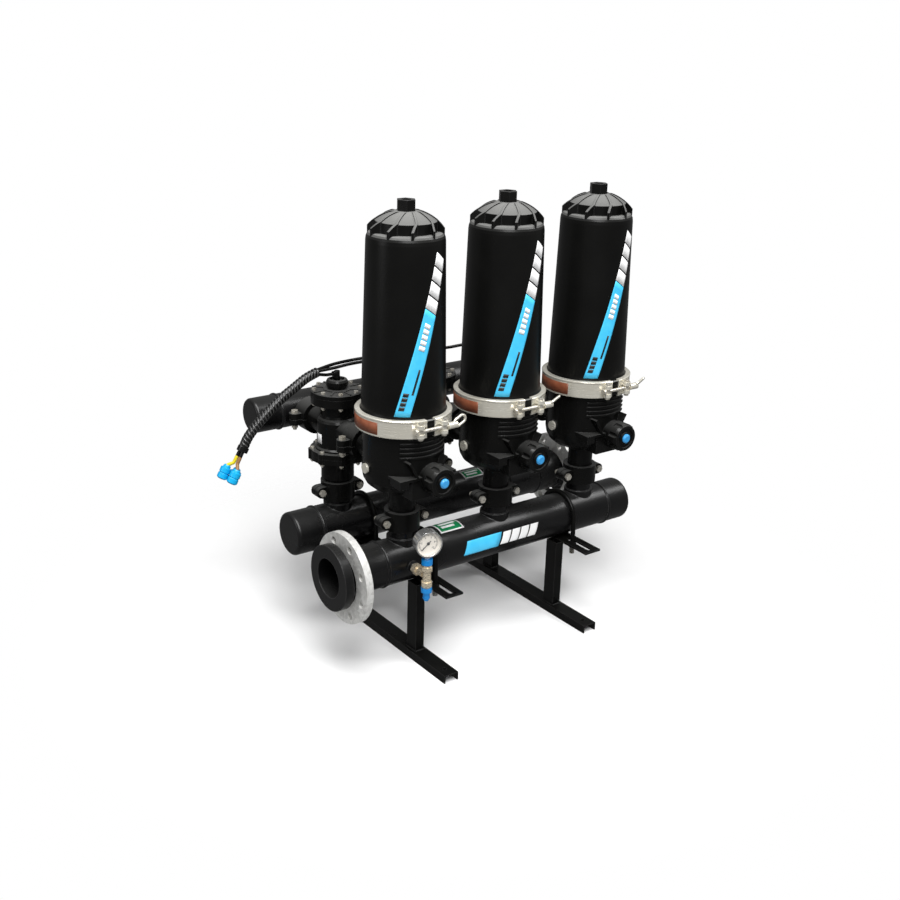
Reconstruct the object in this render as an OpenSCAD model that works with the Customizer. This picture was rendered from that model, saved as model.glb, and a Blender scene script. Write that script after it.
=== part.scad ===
// Irrigation disc filter battery: three back-flush disc filters side by side on a steel frame.
// Each filter stands on the outlet manifold in front. Its three-way valve stands on the inlet
// manifold behind and opens to the drain manifold at the back. Millimetres, floor at z = 0.

/* [Layout] */
// Distance between neighbouring filters
filter_pitch = 280; // [270:1:320]
// Sideways step from the filter row to the valve row
valve_offset = 18; // [0:1:24]
// Distance from the outlet manifold back to the inlet manifold
manifold_gap = 262; // [256:1:300]
// Distance from the inlet manifold back to the drain manifold
drain_gap = 192; // [190:1:230]
// Height of the outlet and inlet manifold axes
manifold_z = 254; // [244:1:270]
// Height of the axes of the ports between filter, valve and drain
port_z = 508; // [502:1:514]

/* [Manifolds] */
// Outer diameter of the outlet and inlet manifolds
manifold_d = 110; // [104:1:116]
// Outer diameter of the drain manifold
drain_d = 90; // [86:1:94]
// Wall of all three manifolds
manifold_wall = 6.6; // [5:0.1:8]
// Outer diameter of risers, necks and ports that a coupling grips
port_d = 63; // [60:1:65]
// Wall of risers, necks and ports
port_wall = 6; // [5:0.5:7]
// Distance from an end filter to the weld beside it
weld_reach = 72; // [66:1:80]
// Distance from an end filter to the flange face
flange_reach = 202; // [190:1:220]
// Distance from an end filter to the end of the cap
cap_reach = 142; // [130:1:160]

/* [Flanges] */
// Diameter of the raised face of the stub flange
face_d = 158; // [150:1:160]
// Thickness of the raised face
face_t = 22; // [16:1:26]
// Outer diameter of the backing ring
ring_d = 220; // [216:1:226]
// Inner diameter of the backing ring
ring_bore = 128; // [120:1:132]
// Thickness of the backing ring
ring_t = 18; // [14:1:22]
// Bolt circle of the backing ring
bolt_circle = 180; // [178:1:184]
// Diameter of the holes in the backing ring
bolt_hole_d = 18; // [16:1:19]

/* [Filter] */
// Radius of the lid where it leaves the clamp
lid_foot_r = 97; // [95:1:98]
// Radius of the lid at its shoulder
lid_top_r = 86; // [85:1:90]
// Height of the joint between lid and base
joint_z = 615; // [612:1:620]
// Height of the lid's shoulder
shoulder_z = 1033; // [1020:1:1045]
// Wall of lid and base
shell_wall = 5; // [4:0.5:6]
// Radius of the filter base
base_r = 95; // [93:1:96]
// Radius of the filter discs
disc_r = 62; // [56:1:66]
// Lift of the piston when the discs are let go
piston_lift = 12; // [6:1:14]

/* [Valve] */
// Radius of the upper valve body
valve_r = 51; // [50:1:53]
// Radius of the valve cover
cover_r = 65; // [63:1:67]
// Travel of the valve spindle
spindle_travel = 20; // [12:1:22]

/* [Frame] */
// Distance between the two frames
frame_gap = 438; // [420:1:450]
// Sideways place of the middle of the two crossbars
frame_shift = 6; // [0:1:10]
// Width of a crossbar
bar_w = 50; // [46:1:56]
// Thickness of a crossbar
bar_t = 5; // [4:0.5:6]
// Width of a foot channel
foot_w = 40; // [36:1:44]
// Height of a foot channel
foot_h = 21; // [18:1:26]
// Steel of feet and posts
sheet_t = 3; // [2.5:0.5:4]
// Reach of a foot in front of the outlet manifold
foot_reach = 186; // [176:1:200]
// Reach of a foot behind the inlet manifold
foot_back = 141; // [130:1:160]
// Diameter of the anchor holes
anchor_d = 11; // [9:1:13]

/* [Gauge] */
// Diameter of the gauge case
gauge_d = 64; // [60:1:66]
// Turn of the gauge face toward the flanged end
gauge_turn = 15; // [0:1:20]

/* [Hidden] */
$fn = 64;

plastic = [0.09, 0.09, 0.09];
pipe_black = [0.11, 0.11, 0.12];
rubber = [0.05, 0.05, 0.05];
zinc = [0.80, 0.80, 0.78];
stainless = [0.78, 0.76, 0.72];
paint = [0.06, 0.06, 0.06];
brass = [0.80, 0.70, 0.50];
blue = [0.10, 0.55, 0.90];

pair = [0, 1];
units = [0, 1, 2];
last = 2;
// Room left between pieces that move past each other
slack = 0.4;
// Room left in a hole round a screw, pin or tube that sits in it
hole_room = 0.05;

manifold_r = manifold_d / 2;
drain_r = drain_d / 2;
port_r = port_d / 2;
port_bore_r = port_r - port_wall;
ring_gap = 14;
weld_bead = 4;
bead_rise = 3;

// The origin is the middle of the box round the whole battery, on the floor
depth_front = foot_reach;
depth_back = manifold_gap + drain_gap + drain_r + bead_rise;
outlet_y = (depth_front - depth_back) / 2;
inlet_y = outlet_y + manifold_gap;
drain_y = inlet_y + drain_gap;
function filter_x(i) = (i - 1) * filter_pitch + valve_offset / 2;
function valve_x(i) = (i - 1) * filter_pitch - valve_offset / 2;

// Couplings
coupling_w = 47;
coupling_r = 43;
outlet_joint_z = manifold_z + 106;
inlet_joint_z = manifold_z + 96;
lug_x = 54;
lug_r = 14;
lug_t = 15;
split_gap = 1;
end_gap = 1.5;
gasket_r = 38;
gasket_half = 12;
key_end = 19;
key_depth = 1.5;
groove_room = 0.5;
lip_room = 0.5;
bolt_r = 5;
base_port_reach = 150;
filter_coupling_y = base_port_reach - manifold_gap;
drain_coupling_y = 118;

// Filter
flange_r = 107.5;
flange_t = 17.5;
seal_r = 100;
seal_w = 5;
seal_h = 4;
band_t = 3.5;
band_lip_r = max(lid_foot_r, base_r) + 3;
rib_count = 10;
rib_t = 5;
rib_rise = 2.5;
rib_start = 39.5;
rib_twist = 10.5;
dome_r = 109;
dome_z = shoulder_z - 59;
pocket_r = 68;
pocket_z = shoulder_z + 3;
crown_z = dome_z + dome_r - 3;
plug_across = 38;
plug_r = 12;
bowl_z = manifold_z + 188;
stem_top = joint_z - 55;
spine_r = 26;
spine_foot_t = 8;
spine_top = shoulder_z - 83;
stack_top = shoulder_z - 153;
piston_top = spine_top + 10;
stop_r = 40;
side_plug_y = 5;
side_plug_z = port_z - 5;
cap_x = 15;
cap_z = port_z - 16;
cap_r = 36;
cap_d = 36;
boss_y = -base_r - 13;
spigot_r = 27;

// Clamp
clamp_z = joint_z;
trunnion_x = 32;
trunnion_y = -flange_r - 9;
trunnion_r = 6;
clamp_bolt_r = 4;
loop_t = 3;
clamp_nut_x = trunnion_x + trunnion_r + 4;
nut_bore = 14;
nut_bend = 27;
nut_roll = [0, 53, 45];

// Valve
neck_z = inlet_joint_z + 30;
mid_z = manifold_z + 192;
mid_t = 13;
mid_r = valve_r + 21;
mid_bolt_r = mid_r - 9;
body_top = port_z + 32;
bonnet_r = valve_r - 9;
flange_z = body_top + 40;
cover_z = flange_z + 18;
cover_t = 14;
cover_top = cover_z + cover_t;
diaphragm_t = 3;
valve_bolts_n = 8;
cover_bolt_r = cover_r - 8;
valve_screw_r = 3;
hub_r = cover_r - 31;
seat_r = 28;
spindle_r = 7;
plate_t = 5;
chamber_z = cover_z - diaphragm_t - spindle_travel - plate_t - 2;

// Frame
bar_top = manifold_z - manifold_r;
post_w = 24;
post_d = 38;
post_y = -35;
frame_middle = manifold_gap / 2;
anchor_in = 28;
bar_reach = 140;
slot_l = 85;
slot_w = 13;
u_bolt_r = 6;
u_bolt_ring = manifold_r + u_bolt_r;
u_bolt_end = 30;
function bar_x(i) = frame_shift + (i - 0.5) * frame_gap;

// Gauge
gauge_x = filter_x(0) - 4;
gauge_y = outlet_y - 112;
gauge_t = 27;
tee_top = manifold_z + 30;
tee_bottom = manifold_z - 30;
collar_top = tee_top + 14;
fitting_bottom = tee_bottom - 34;
gauge_z = collar_top + 8 + gauge_d / 2;

// Control tubes
tube_d = 8;
bundle_d = 21;
elbow_z = cover_top + 37;
elbow_reach = 12;

module at_filters() {
    for (i = units) translate([filter_x(i), outlet_y, 0]) children();
}

module at_valves() {
    for (i = units) translate([valve_x(i), inlet_y, 0]) children();
}

module along_x(x = 0) {
    translate([x, 0, 0]) rotate([0, 90, 0]) children();
}

module along_y(y = 0) {
    translate([0, y, 0]) rotate([-90, 0, 0]) children();
}

module ring(outer, inner, height) {
    difference() {
        cylinder(r = outer, h = height);
        translate([0, 0, -1]) cylinder(r = inner, h = height + 2);
    }
}

// Groove in the last part of a port, where a coupling's key sits. The port ends at z = 0 below the joint.
module port_groove() {
    translate([0, 0, end_gap - key_end - groove_room])
        ring(port_r + 1, port_r - key_depth - groove_room, key_end - gasket_half + 2 * groove_room);
}

module hex_head(across, height) {
    cylinder(d = across / cos(30), h = height, $fn = 6);
}

// Rounded bead left by a butt weld
module bead(radius) {
    rotate_extrude() translate([radius + bead_rise - weld_bead, 0]) circle(r = weld_bead, $fn = 24);
}

// Main manifolds

module manifold_pipe(first_x, riser_xs, riser_joint, boss_x) {
    length = 2 * weld_reach + last * filter_pitch;
    riser_top = riser_joint - manifold_z - end_gap;
    difference() {
        union() {
            along_x(first_x) cylinder(r = manifold_r, h = length);
            for (x = [first_x + weld_bead, first_x + length - weld_bead]) along_x(x) bead(manifold_r);
            for (x = riser_xs) translate([x, 0, 0]) cylinder(r = port_r, h = riser_top);
            for (x = riser_xs) translate([x, 0, 0]) cylinder(r = port_r + 5, h = manifold_r + 6);
            if (boss_x != undef)
                translate([boss_x, 0, 0]) along_y(-manifold_r - 9) cylinder(r = 14, h = manifold_r / 2);
        }
        along_x(first_x - 1) cylinder(r = manifold_r - manifold_wall, h = length + 2);
        for (x = riser_xs) translate([x, 0, 0]) cylinder(r = port_bore_r, h = riser_top + 1);
        for (x = riser_xs) translate([x, 0, riser_top]) port_groove();
        if (boss_x != undef)
            translate([boss_x, 0, 0]) along_y(-manifold_r - 10) cylinder(r = 6, h = manifold_r);
    }
}

module outlet_manifold() {
    color(pipe_black) translate([0, outlet_y, manifold_z])
        manifold_pipe(filter_x(0) - weld_reach, [for (i = units) filter_x(i)], outlet_joint_z, gauge_x);
}

module inlet_manifold() {
    color(pipe_black) translate([0, inlet_y, manifold_z])
        manifold_pipe(valve_x(0) - weld_reach, [for (i = units) valve_x(i)], inlet_joint_z);
}

module drain_manifold() {
    first_x = valve_x(0) - weld_reach;
    length = weld_reach + last * filter_pitch + cap_reach;
    branch = drain_gap - drain_coupling_y - end_gap;
    color(pipe_black) translate([0, drain_y, port_z]) difference() {
        union() {
            along_x(first_x) cylinder(r = drain_r, h = length);
            along_x(first_x + weld_bead) bead(drain_r);
            for (i = units) translate([valve_x(i), -branch, 0]) along_y() cylinder(r = port_r, h = branch);
        }
        along_x(first_x - 1) cylinder(r = drain_r - manifold_wall, h = length + 2);
        for (i = units) translate([valve_x(i), -branch - 1, 0]) along_y() cylinder(r = port_bore_r, h = branch);
        for (i = units) translate([valve_x(i), -branch, 0]) rotate([90, 0, 0]) port_groove();
        along_x(first_x + length - 25) ring(drain_r + 1, drain_r - 2, 9);
    }
}

// Domed cap closing one end, mouth at z = 0
module end_cap(radius, length) {
    edge = 9;
    rotate_extrude() difference() {
        union() {
            square([radius, length - edge]);
            square([radius - edge, length]);
            translate([radius - edge, length - edge]) circle(r = edge, $fn = 32);
        }
        translate([-1, -1]) square([radius - manifold_wall + 1, length - manifold_wall]);
        translate([-radius - 1, -1]) square([radius + 1, length + 2]);
    }
}

module manifold_caps() {
    length = cap_reach - weld_reach;
    color(pipe_black) {
        translate([filter_x(last) + weld_reach, outlet_y, manifold_z]) along_x() end_cap(manifold_r, length);
        translate([valve_x(0) - weld_reach, inlet_y, manifold_z]) rotate([0, -90, 0]) end_cap(manifold_r, length);
        translate([valve_x(0) - weld_reach, drain_y, port_z]) rotate([0, -90, 0]) end_cap(drain_r, length);
    }
}

// Stub flange: a neck welded to the pipe at z = 0 and a raised face
module stub_flange() {
    length = flange_reach - weld_reach;
    difference() {
        union() {
            cylinder(r = manifold_r, h = length);
            translate([0, 0, length - face_t - 10])
                cylinder(r1 = manifold_r, r2 = manifold_r + 8, h = 10);
            translate([0, 0, length - face_t]) cylinder(d = face_d, h = face_t);
        }
        translate([0, 0, -1]) cylinder(r = manifold_r - manifold_wall - 1, h = length + 2);
    }
}

module stub_flanges() {
    color(pipe_black) {
        translate([filter_x(0) - weld_reach, outlet_y, manifold_z]) rotate([0, -90, 0]) stub_flange();
        translate([valve_x(last) + weld_reach, inlet_y, manifold_z]) along_x() stub_flange();
    }
}

// Loose ring that hangs on the neck behind the raised face
module backing_ring() {
    difference() {
        cylinder(d = ring_d, h = ring_t);
        translate([0, 0, -1]) cylinder(d = ring_bore, h = ring_t + 2);
        for (k = [0 : 7]) rotate(22.5 + 45 * k) translate([bolt_circle / 2, 0, -1])
            cylinder(d = bolt_hole_d, h = ring_t + 2);
    }
}

module backing_rings() {
    hang = (ring_bore - manifold_d) / 2;
    back = face_t + ring_gap;
    left = filter_x(0) - flange_reach + back;
    right = valve_x(last) + flange_reach - back - ring_t;
    color(zinc) {
        translate([left, outlet_y, manifold_z - hang]) along_x() backing_ring();
        translate([right, inlet_y, manifold_z - hang]) along_x() backing_ring();
    }
}

// Filters

module base_shell() {
    neck_bottom = outlet_joint_z + end_gap;
    difference() {
        rotate_extrude() polygon([
            [0, neck_bottom], [port_r, neck_bottom], [port_r, bowl_z - 14], [port_r + 6, bowl_z - 4],
            [base_r - 36, bowl_z], [base_r - 22, bowl_z + 5], [base_r - 10, bowl_z + 15], [base_r - 3, bowl_z + 28],
            [base_r, bowl_z + 44], [base_r, joint_z - flange_t], [flange_r, joint_z - flange_t], [flange_r, joint_z],
            [0, joint_z]]);
        translate([0, 0, neck_bottom - 1]) cylinder(r = port_bore_r, h = stem_top - neck_bottom + 2);
        translate([0, 0, neck_bottom]) mirror([0, 0, 1]) port_groove();
        translate([0, 0, joint_z - seal_h]) ring(seal_r + seal_w / 2, seal_r - seal_w / 2, seal_h + 1);
    }
}

// Room for the water inside the base, round the stem that carries the discs
module base_hollow() {
    inner_r = base_r - shell_wall;
    rotate_extrude() polygon([
        [port_r, bowl_z + 8], [base_r - 40, bowl_z + 8], [base_r - 26, bowl_z + 13], [base_r - 15, bowl_z + 22],
        [inner_r - 3, bowl_z + 33], [inner_r, bowl_z + 47], [inner_r, joint_z + 1], [0, joint_z + 1],
        [0, stem_top], [port_r, stem_top]]);
}

// Inlet port at the back, set to one side so that the water starts to turn
module base_port() {
    reach = manifold_gap + filter_coupling_y - end_gap;
    translate([-valve_offset, 0, port_z]) difference() {
        along_y(40) cylinder(r = port_r, h = reach - 40);
        along_y(30) cylinder(r = port_bore_r, h = reach);
        translate([0, reach, 0]) rotate([-90, 0, 0]) port_groove();
        translate([valve_offset, 0, -100]) cylinder(r = base_r - shell_wall / 2, h = 200);
    }
}

// Shelf, block and gussets moulded on the front round the cap's boss
module base_front() {
    shelf_w = 154;
    block_w = 84;
    front = -base_r - 10;
    gusset = [5, 40, 50];
    tab = [24, 40, 20];
    difference() {
        union() {
            translate([-shelf_w / 2, front, cap_z + 8 - tab[2]]) cube(tab);
            translate([-shelf_w / 2, front, cap_z + 2]) cube([shelf_w, base_r - 20, 6]);
            translate([-block_w / 2, front + 4, bowl_z + 4]) cube([block_w, base_r - 35, cap_z - bowl_z]);
            for (side = [-1, 1]) translate([side * 38, front + gusset[1] / 2, cap_z + 25])
                rotate([0, side * 30, 0]) cube(gusset, center = true);
            translate([cap_x, 0, cap_z]) along_y(boss_y) cylinder(r = cap_r - 3, h = 40);
            translate([cap_x, 0, cap_z]) along_y(boss_y - 22) cylinder(r = spigot_r, h = 40);
        }
        translate([cap_x, 0, cap_z]) along_y(boss_y - 30) cylinder(r = spigot_r - 6, h = 64);
    }
}

module base_ridges() {
    for (k = [0 : 4]) translate([0, 0, joint_z - 74 + 11 * k]) rotate(-128) rotate_extrude(angle = 76)
        translate([base_r - 2, 0]) square([6, 5]);
}

module filter_bases() {
    color(plastic) at_filters() difference() {
        union() {
            base_shell();
            base_port();
            base_front();
            base_ridges();
            translate([-base_r - 2, side_plug_y, side_plug_z]) along_x() cylinder(r = 15, h = 20);
        }
        translate([-valve_offset, base_r - 35, port_z]) along_y() cylinder(r = port_bore_r, h = base_port_reach - base_r);
        base_hollow();
        translate([-base_r - 3, side_plug_y, side_plug_z]) along_x() cylinder(r = 10 + hole_room, h = 30);
    }
}

// One leg of a rib over the crown, seen from above
module rib_leg(p, q) {
    along = q - p;
    translate(p) rotate(atan2(along[1], along[0])) translate([-rib_t / 2, -rib_t / 2])
        square([norm(along) + rib_t, rib_t]);
}

// Ribs that run from the plug over the crown and bend back across the open pockets to the shoulder
module lid_ribs() {
    bend = [pocket_r - 1, 0];
    for (k = [0 : rib_count - 1]) rotate(rib_start + 360 / rib_count * k) {
        rib_leg([25, 6.5], bend);
        rib_leg(bend, lid_top_r * [cos(rib_twist), -sin(rib_twist)]);
    }
}

module lid_shell() {
    wall_top = shoulder_z - 8;
    inner_top = pocket_z - shell_wall;
    difference() {
        union() {
            rotate_extrude() polygon([
                [0, joint_z], [flange_r, joint_z], [flange_r, joint_z + flange_t],
                [lid_foot_r + 2, joint_z + flange_t], [lid_foot_r + 2, joint_z + flange_t + 3], [lid_foot_r, joint_z + flange_t + 9],
                [lid_top_r + 2, wall_top - 8], [lid_top_r + 1, wall_top], [lid_top_r - 1, wall_top + 5],
                [lid_top_r - 4, shoulder_z + 1], [lid_top_r - 8, pocket_z], [0, pocket_z]]);
            intersection() {
                translate([0, 0, dome_z]) sphere(r = dome_r, $fn = 96);
                translate([0, 0, pocket_z - 10]) cylinder(r = pocket_r, h = dome_r);
            }
            intersection() {
                translate([0, 0, dome_z]) sphere(r = dome_r + rib_rise, $fn = 96);
                translate([0, 0, pocket_z - 10]) cylinder(r = lid_top_r - 1, h = dome_r);
                translate([0, 0, pocket_z - 10]) linear_extrude(dome_r) lid_ribs();
            }
        }
        rotate_extrude() polygon([
            [0, joint_z - 1], [lid_foot_r - shell_wall - 1, joint_z - 1],
            [lid_foot_r - shell_wall, joint_z + flange_t + 9], [lid_top_r - shell_wall, wall_top - 14],
            [pocket_r - shell_wall, inner_top - 2], [0, inner_top]]);
        intersection() {
            translate([0, 0, dome_z]) sphere(r = dome_r - shell_wall - 2, $fn = 96);
            translate([0, 0, inner_top - 5]) cylinder(r = pocket_r - shell_wall, h = dome_r);
        }
        translate([0, 0, crown_z]) cylinder(r = plug_across, h = dome_r);
        translate([0, 0, pocket_z]) cylinder(r = plug_r + hole_room, h = dome_r);
    }
    lid_stop();
}

// Ring in the lid that the piston meets at the end of its lift
module lid_stop() {
    intersection() {
        translate([0, 0, piston_top + piston_lift + slack]) ring(stop_r, stop_r - shell_wall, dome_r);
        translate([0, 0, dome_z]) sphere(r = dome_r - shell_wall / 2, $fn = 96);
    }
}

module filter_lids() {
    color(plastic) at_filters() lid_shell();
}

// Screw plug in the crown of the lid
module lid_plugs() {
    head_h = 24;
    stem_h = 24;
    color(plastic) at_filters() translate([0, 0, crown_z]) difference() {
        union() {
            hex_head(plug_across, head_h);
            translate([0, 0, -stem_h]) cylinder(r = plug_r, h = stem_h + 1);
        }
        translate([0, 0, head_h - 9]) cylinder(r = 11, h = 10);
    }
}

module lid_seals() {
    color(rubber) at_filters() translate([0, 0, joint_z - seal_h])
        ring(seal_r + seal_w / 2, seal_r - seal_w / 2, seal_h);
}

// Clamp band in V section, open at the front, with a loop at each end for a trunnion
module clamp_band() {
    gap = 22;
    half = flange_t + band_t;
    loop_h = 30;
    difference() {
        union() {
            translate([0, 0, clamp_z]) rotate_extrude() polygon([
                [flange_r, -flange_t], [band_lip_r, -flange_t], [band_lip_r, -half], [flange_r + band_t - 2, -half],
                [flange_r + band_t, -half + 2], [flange_r + band_t, half - 5], [flange_r + band_t + 1, half - 3],
                [flange_r + band_t + 1, half - 1], [flange_r + band_t - 1, half + 0.5], [band_lip_r, half + 0.5],
                [band_lip_r, flange_t], [flange_r, flange_t]]);
            for (side = [-1, 1]) translate([side * trunnion_x, trunnion_y, clamp_z - loop_h / 2]) {
                cylinder(r = trunnion_r + loop_t, h = loop_h);
                translate([-4 - side * 4, 0, 0]) cube([8, 26, loop_h]);
            }
        }
        translate([-gap / 2, -2 * flange_r, clamp_z - 50]) cube([gap, 2 * flange_r, 100]);
        translate([0, 0, clamp_z - flange_t]) cylinder(r = flange_r, h = 2 * flange_t);
        for (side = [-1, 1]) translate([side * trunnion_x, trunnion_y, clamp_z - 50]) {
            cylinder(r = trunnion_r + hole_room, h = 100);
            translate([-20, -20, 44]) cube([40, 30, 12]);
        }
    }
}

module clamp_bands() {
    color(stainless) at_filters() clamp_band();
}

// T-bolt across the gap and the two trunnion pins it passes through
module clamp_bolts() {
    head = 6;
    left = -trunnion_x - trunnion_r - loop_t - head - slack;
    color(zinc) at_filters() translate([0, trunnion_y, clamp_z]) {
        along_x(left) hex_head(13, head);
        along_x(left) cylinder(r = clamp_bolt_r, h = clamp_nut_x - left + nut_bore - slack);
        for (side = [-1, 1]) difference() {
            translate([side * trunnion_x, 0, -20]) cylinder(r = trunnion_r, h = 40);
            along_x(-100) cylinder(r = clamp_bolt_r + hole_room, h = 200);
        }
    }
}

// Ring nut: a sleeve on the bolt and an oval loop, bent up, to turn it by
module clamp_nut(i) {
    wire = 3;
    loop_r = 9;
    straight = 14;
    start = 18;
    color(stainless) translate([filter_x(i) + clamp_nut_x, outlet_y + trunnion_y, clamp_z]) {
        difference() {
            along_x() cylinder(r = 8, h = start + 6);
            along_x(-1) cylinder(r = clamp_bolt_r + slack, h = nut_bore + 1);
        }
        translate([start, 0, 0]) rotate([0, -nut_bend, 0]) rotate([nut_roll[i], 0, 0])
            translate([loop_r, 0, 0]) rotate([90, 0, 0]) {
                rotate(90) rotate_extrude(angle = 180) translate([loop_r, 0]) circle(r = wire, $fn = 24);
                translate([straight, 0, 0]) rotate(-90) rotate_extrude(angle = 180)
                    translate([loop_r, 0]) circle(r = wire, $fn = 24);
                for (side = [-1, 1]) translate([0, side * loop_r, 0]) along_x() cylinder(r = wire, h = straight);
            }
    }
}

// Fluted cap screwed on the front boss. It turns about y through the boss.
module port_cap(i) {
    floor_t = 10;
    back = boss_y - 1;
    color(plastic) translate([filter_x(i) + cap_x, outlet_y, cap_z]) difference() {
        union() {
            along_y(back - cap_d) cylinder(r1 = cap_r - 4, r2 = cap_r, h = 8);
            along_y(back - cap_d + 8) cylinder(r = cap_r, h = cap_d - 8);
        }
        along_y(back - cap_d + floor_t) cylinder(r = spigot_r + slack, h = cap_d);
        along_y(back - cap_d - 1) ring(25, 15, 5);
        along_y(back - cap_d - 1) cylinder(r = 7, h = floor_t + 2);
        for (k = [0 : 7]) rotate([0, 45 * k + 20, 0]) translate([cap_r + 3, 0, 0])
            along_y(back - cap_d - 1) cylinder(r = 7, h = cap_d - 8);
    }
}

// Blue plug pushed into the middle of the front cap
module cap_plug(i) {
    back = boss_y - 1;
    color(blue) translate([filter_x(i) + cap_x, outlet_y, cap_z]) {
        along_y(back - cap_d - 3) cylinder(r = 11.5, h = 3);
        along_y(back - cap_d - 6) cylinder(r1 = 8, r2 = 11.5, h = 3);
        along_y(back - cap_d) cylinder(r = 7, h = 10);
    }
}

module side_plugs() {
    color(stainless) at_filters() translate([-base_r - 2, side_plug_y, side_plug_z]) {
        along_x(-5) cylinder(r = 12, h = 5);
        along_x() cylinder(r = 10, h = 8);
    }
}

// Spine that carries the discs: a foot on the base's stem and a tube with water holes
module disc_spines() {
    wall = 5;
    hole_r = 7;
    rows = 4;
    row_step = 75;
    color(plastic) at_filters() translate([0, 0, stem_top]) difference() {
        union() {
            cylinder(r = disc_r - 6, h = spine_foot_t);
            cylinder(r = spine_r, h = spine_top - stem_top);
        }
        translate([0, 0, -1]) cylinder(r = spine_r - wall, h = spine_top - stem_top - wall);
        for (k = [0 : 2]) rotate(60 * k) for (row = [0 : rows - 1])
            translate([0, 0, 40 + row_step * row]) along_x(-spine_r - 1) cylinder(r = hole_r, h = 2 * spine_r + 2);
    }
}

// Stack of grooved discs, free to spin round the spine when the piston lifts
module disc_stack(i) {
    bottom = stem_top + spine_foot_t + slack;
    bore = spine_r + slack;
    groove = 3;
    groove_w = 1.2;
    count = 12;
    step = (stack_top - bottom) / count;
    color([0.55, 0.08, 0.06]) translate([filter_x(i), outlet_y, 0]) rotate_extrude() difference() {
        translate([bore, bottom]) square([disc_r - bore, stack_top - bottom]);
        for (k = [1 : count - 1]) translate([disc_r - groove, bottom + k * step - groove_w / 2])
            square([groove + 1, groove_w]);
    }
}

// Piston that presses on the discs and lifts off them while they are washed
module disc_piston(i) {
    bottom = stack_top + slack;
    rim = 16;
    cone = 30;
    color(plastic) translate([filter_x(i), outlet_y, bottom]) difference() {
        union() {
            cylinder(r = disc_r, h = rim);
            translate([0, 0, rim]) cylinder(r1 = disc_r, r2 = stop_r, h = cone);
            translate([0, 0, rim + cone]) cylinder(r = stop_r, h = piston_top - bottom - rim - cone);
        }
        translate([0, 0, -1]) cylinder(r = spine_r + slack, h = spine_top - bottom + slack + 1);
    }
}

// Valves

// Eight-lobed flange with bolt holes, lying on z = 0
module lobed_flange(radius, bolt_ring, height) {
    linear_extrude(height) difference() {
        union() {
            circle(r = bolt_ring + 5);
            for (k = [0 : valve_bolts_n - 1]) rotate(360 / valve_bolts_n * (k + 0.5)) translate([bolt_ring, 0])
                circle(r = radius - bolt_ring + 1, $fn = 32);
        }
        for (k = [0 : valve_bolts_n - 1]) rotate(360 / valve_bolts_n * (k + 0.5)) translate([bolt_ring, 0])
            circle(r = valve_screw_r, $fn = 24);
    }
}

module valve_bottoms() {
    bottom = inlet_joint_z + end_gap;
    color(plastic) at_valves() difference() {
        union() {
            translate([0, 0, bottom]) cylinder(r = port_r, h = mid_z - bottom - mid_t / 2);
            translate([0, 0, neck_z - 4]) cylinder(r1 = port_r, r2 = 41, h = 6);
            translate([0, 0, neck_z + 2]) cylinder(r = 41, h = mid_z - neck_z - mid_t / 2);
            translate([0, 0, mid_z - mid_t]) lobed_flange(mid_r, mid_bolt_r, mid_t);
        }
        translate([0, 0, bottom - 1]) cylinder(r = port_bore_r, h = mid_z);
        translate([0, 0, neck_z + 10]) cylinder(r = 34, h = mid_z);
        translate([0, 0, bottom]) mirror([0, 0, 1]) port_groove();
    }
}

// Side port of a valve body, toward -y, ending at the given distance from the axis
module valve_port(reach) {
    translate([0, -reach, port_z]) difference() {
        along_y() cylinder(r = port_r, h = reach - 20);
        rotate([90, 0, 0]) port_groove();
    }
}

module valve_bodies() {
    front = -filter_coupling_y - end_gap;
    back = drain_coupling_y - end_gap;
    color(plastic) at_valves() difference() {
        union() {
            translate([0, 0, mid_z]) lobed_flange(mid_r, mid_bolt_r, mid_t);
            rotate_extrude() polygon([
                [0, mid_z + 1], [valve_r + 4, mid_z + 1], [valve_r + 4, mid_z + mid_t + 4], [valve_r, mid_z + mid_t + 8],
                [valve_r, body_top - 8], [valve_r - 3, body_top - 2], [bonnet_r + 2, body_top + 2],
                [bonnet_r, body_top + 8], [bonnet_r, flange_z - 6], [bonnet_r + 6, flange_z - 1], [0, flange_z - 1]]);
            translate([0, 0, flange_z - 2]) ring(cover_r, bonnet_r - 6, cover_z - flange_z + 2);
            valve_port(front);
            rotate(180) valve_port(back);
            rotate(-37) translate([valve_r - 8, 0, port_z + 12]) along_x() cylinder(r = 8, h = 12);
        }
        translate([0, 0, mid_z - 1]) cylinder(r = seat_r, h = 30);
        translate([0, 0, mid_z + mid_t + 3]) cylinder(r = valve_r - 7, h = body_top - mid_z - mid_t - 8);
        translate([0, 0, mid_z]) cylinder(r = spindle_r + slack, h = cover_z - mid_z);
        translate([0, 0, chamber_z]) cylinder(r = bonnet_r - 6, h = cover_z - chamber_z + 1);
        translate([0, -front - 1, port_z]) along_y() cylinder(r = port_bore_r, h = front + back + 2);
        for (k = [0 : valve_bolts_n - 1]) rotate(360 / valve_bolts_n * (k + 0.5))
            translate([cover_bolt_r, 0, flange_z - 3]) cylinder(r = valve_screw_r, h = cover_z - flange_z + 4, $fn = 24);
        rotate(-37) translate([valve_r - 9, 0, port_z + 12]) along_x() cylinder(r = 4, h = 30);
    }
}

module valve_diaphragms() {
    color(rubber) at_valves() translate([0, 0, cover_z - diaphragm_t]) difference() {
        cylinder(r = bonnet_r - 6, h = diaphragm_t);
        translate([0, 0, -1]) cylinder(r = bonnet_r - 16, h = 2);
    }
}

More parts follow.
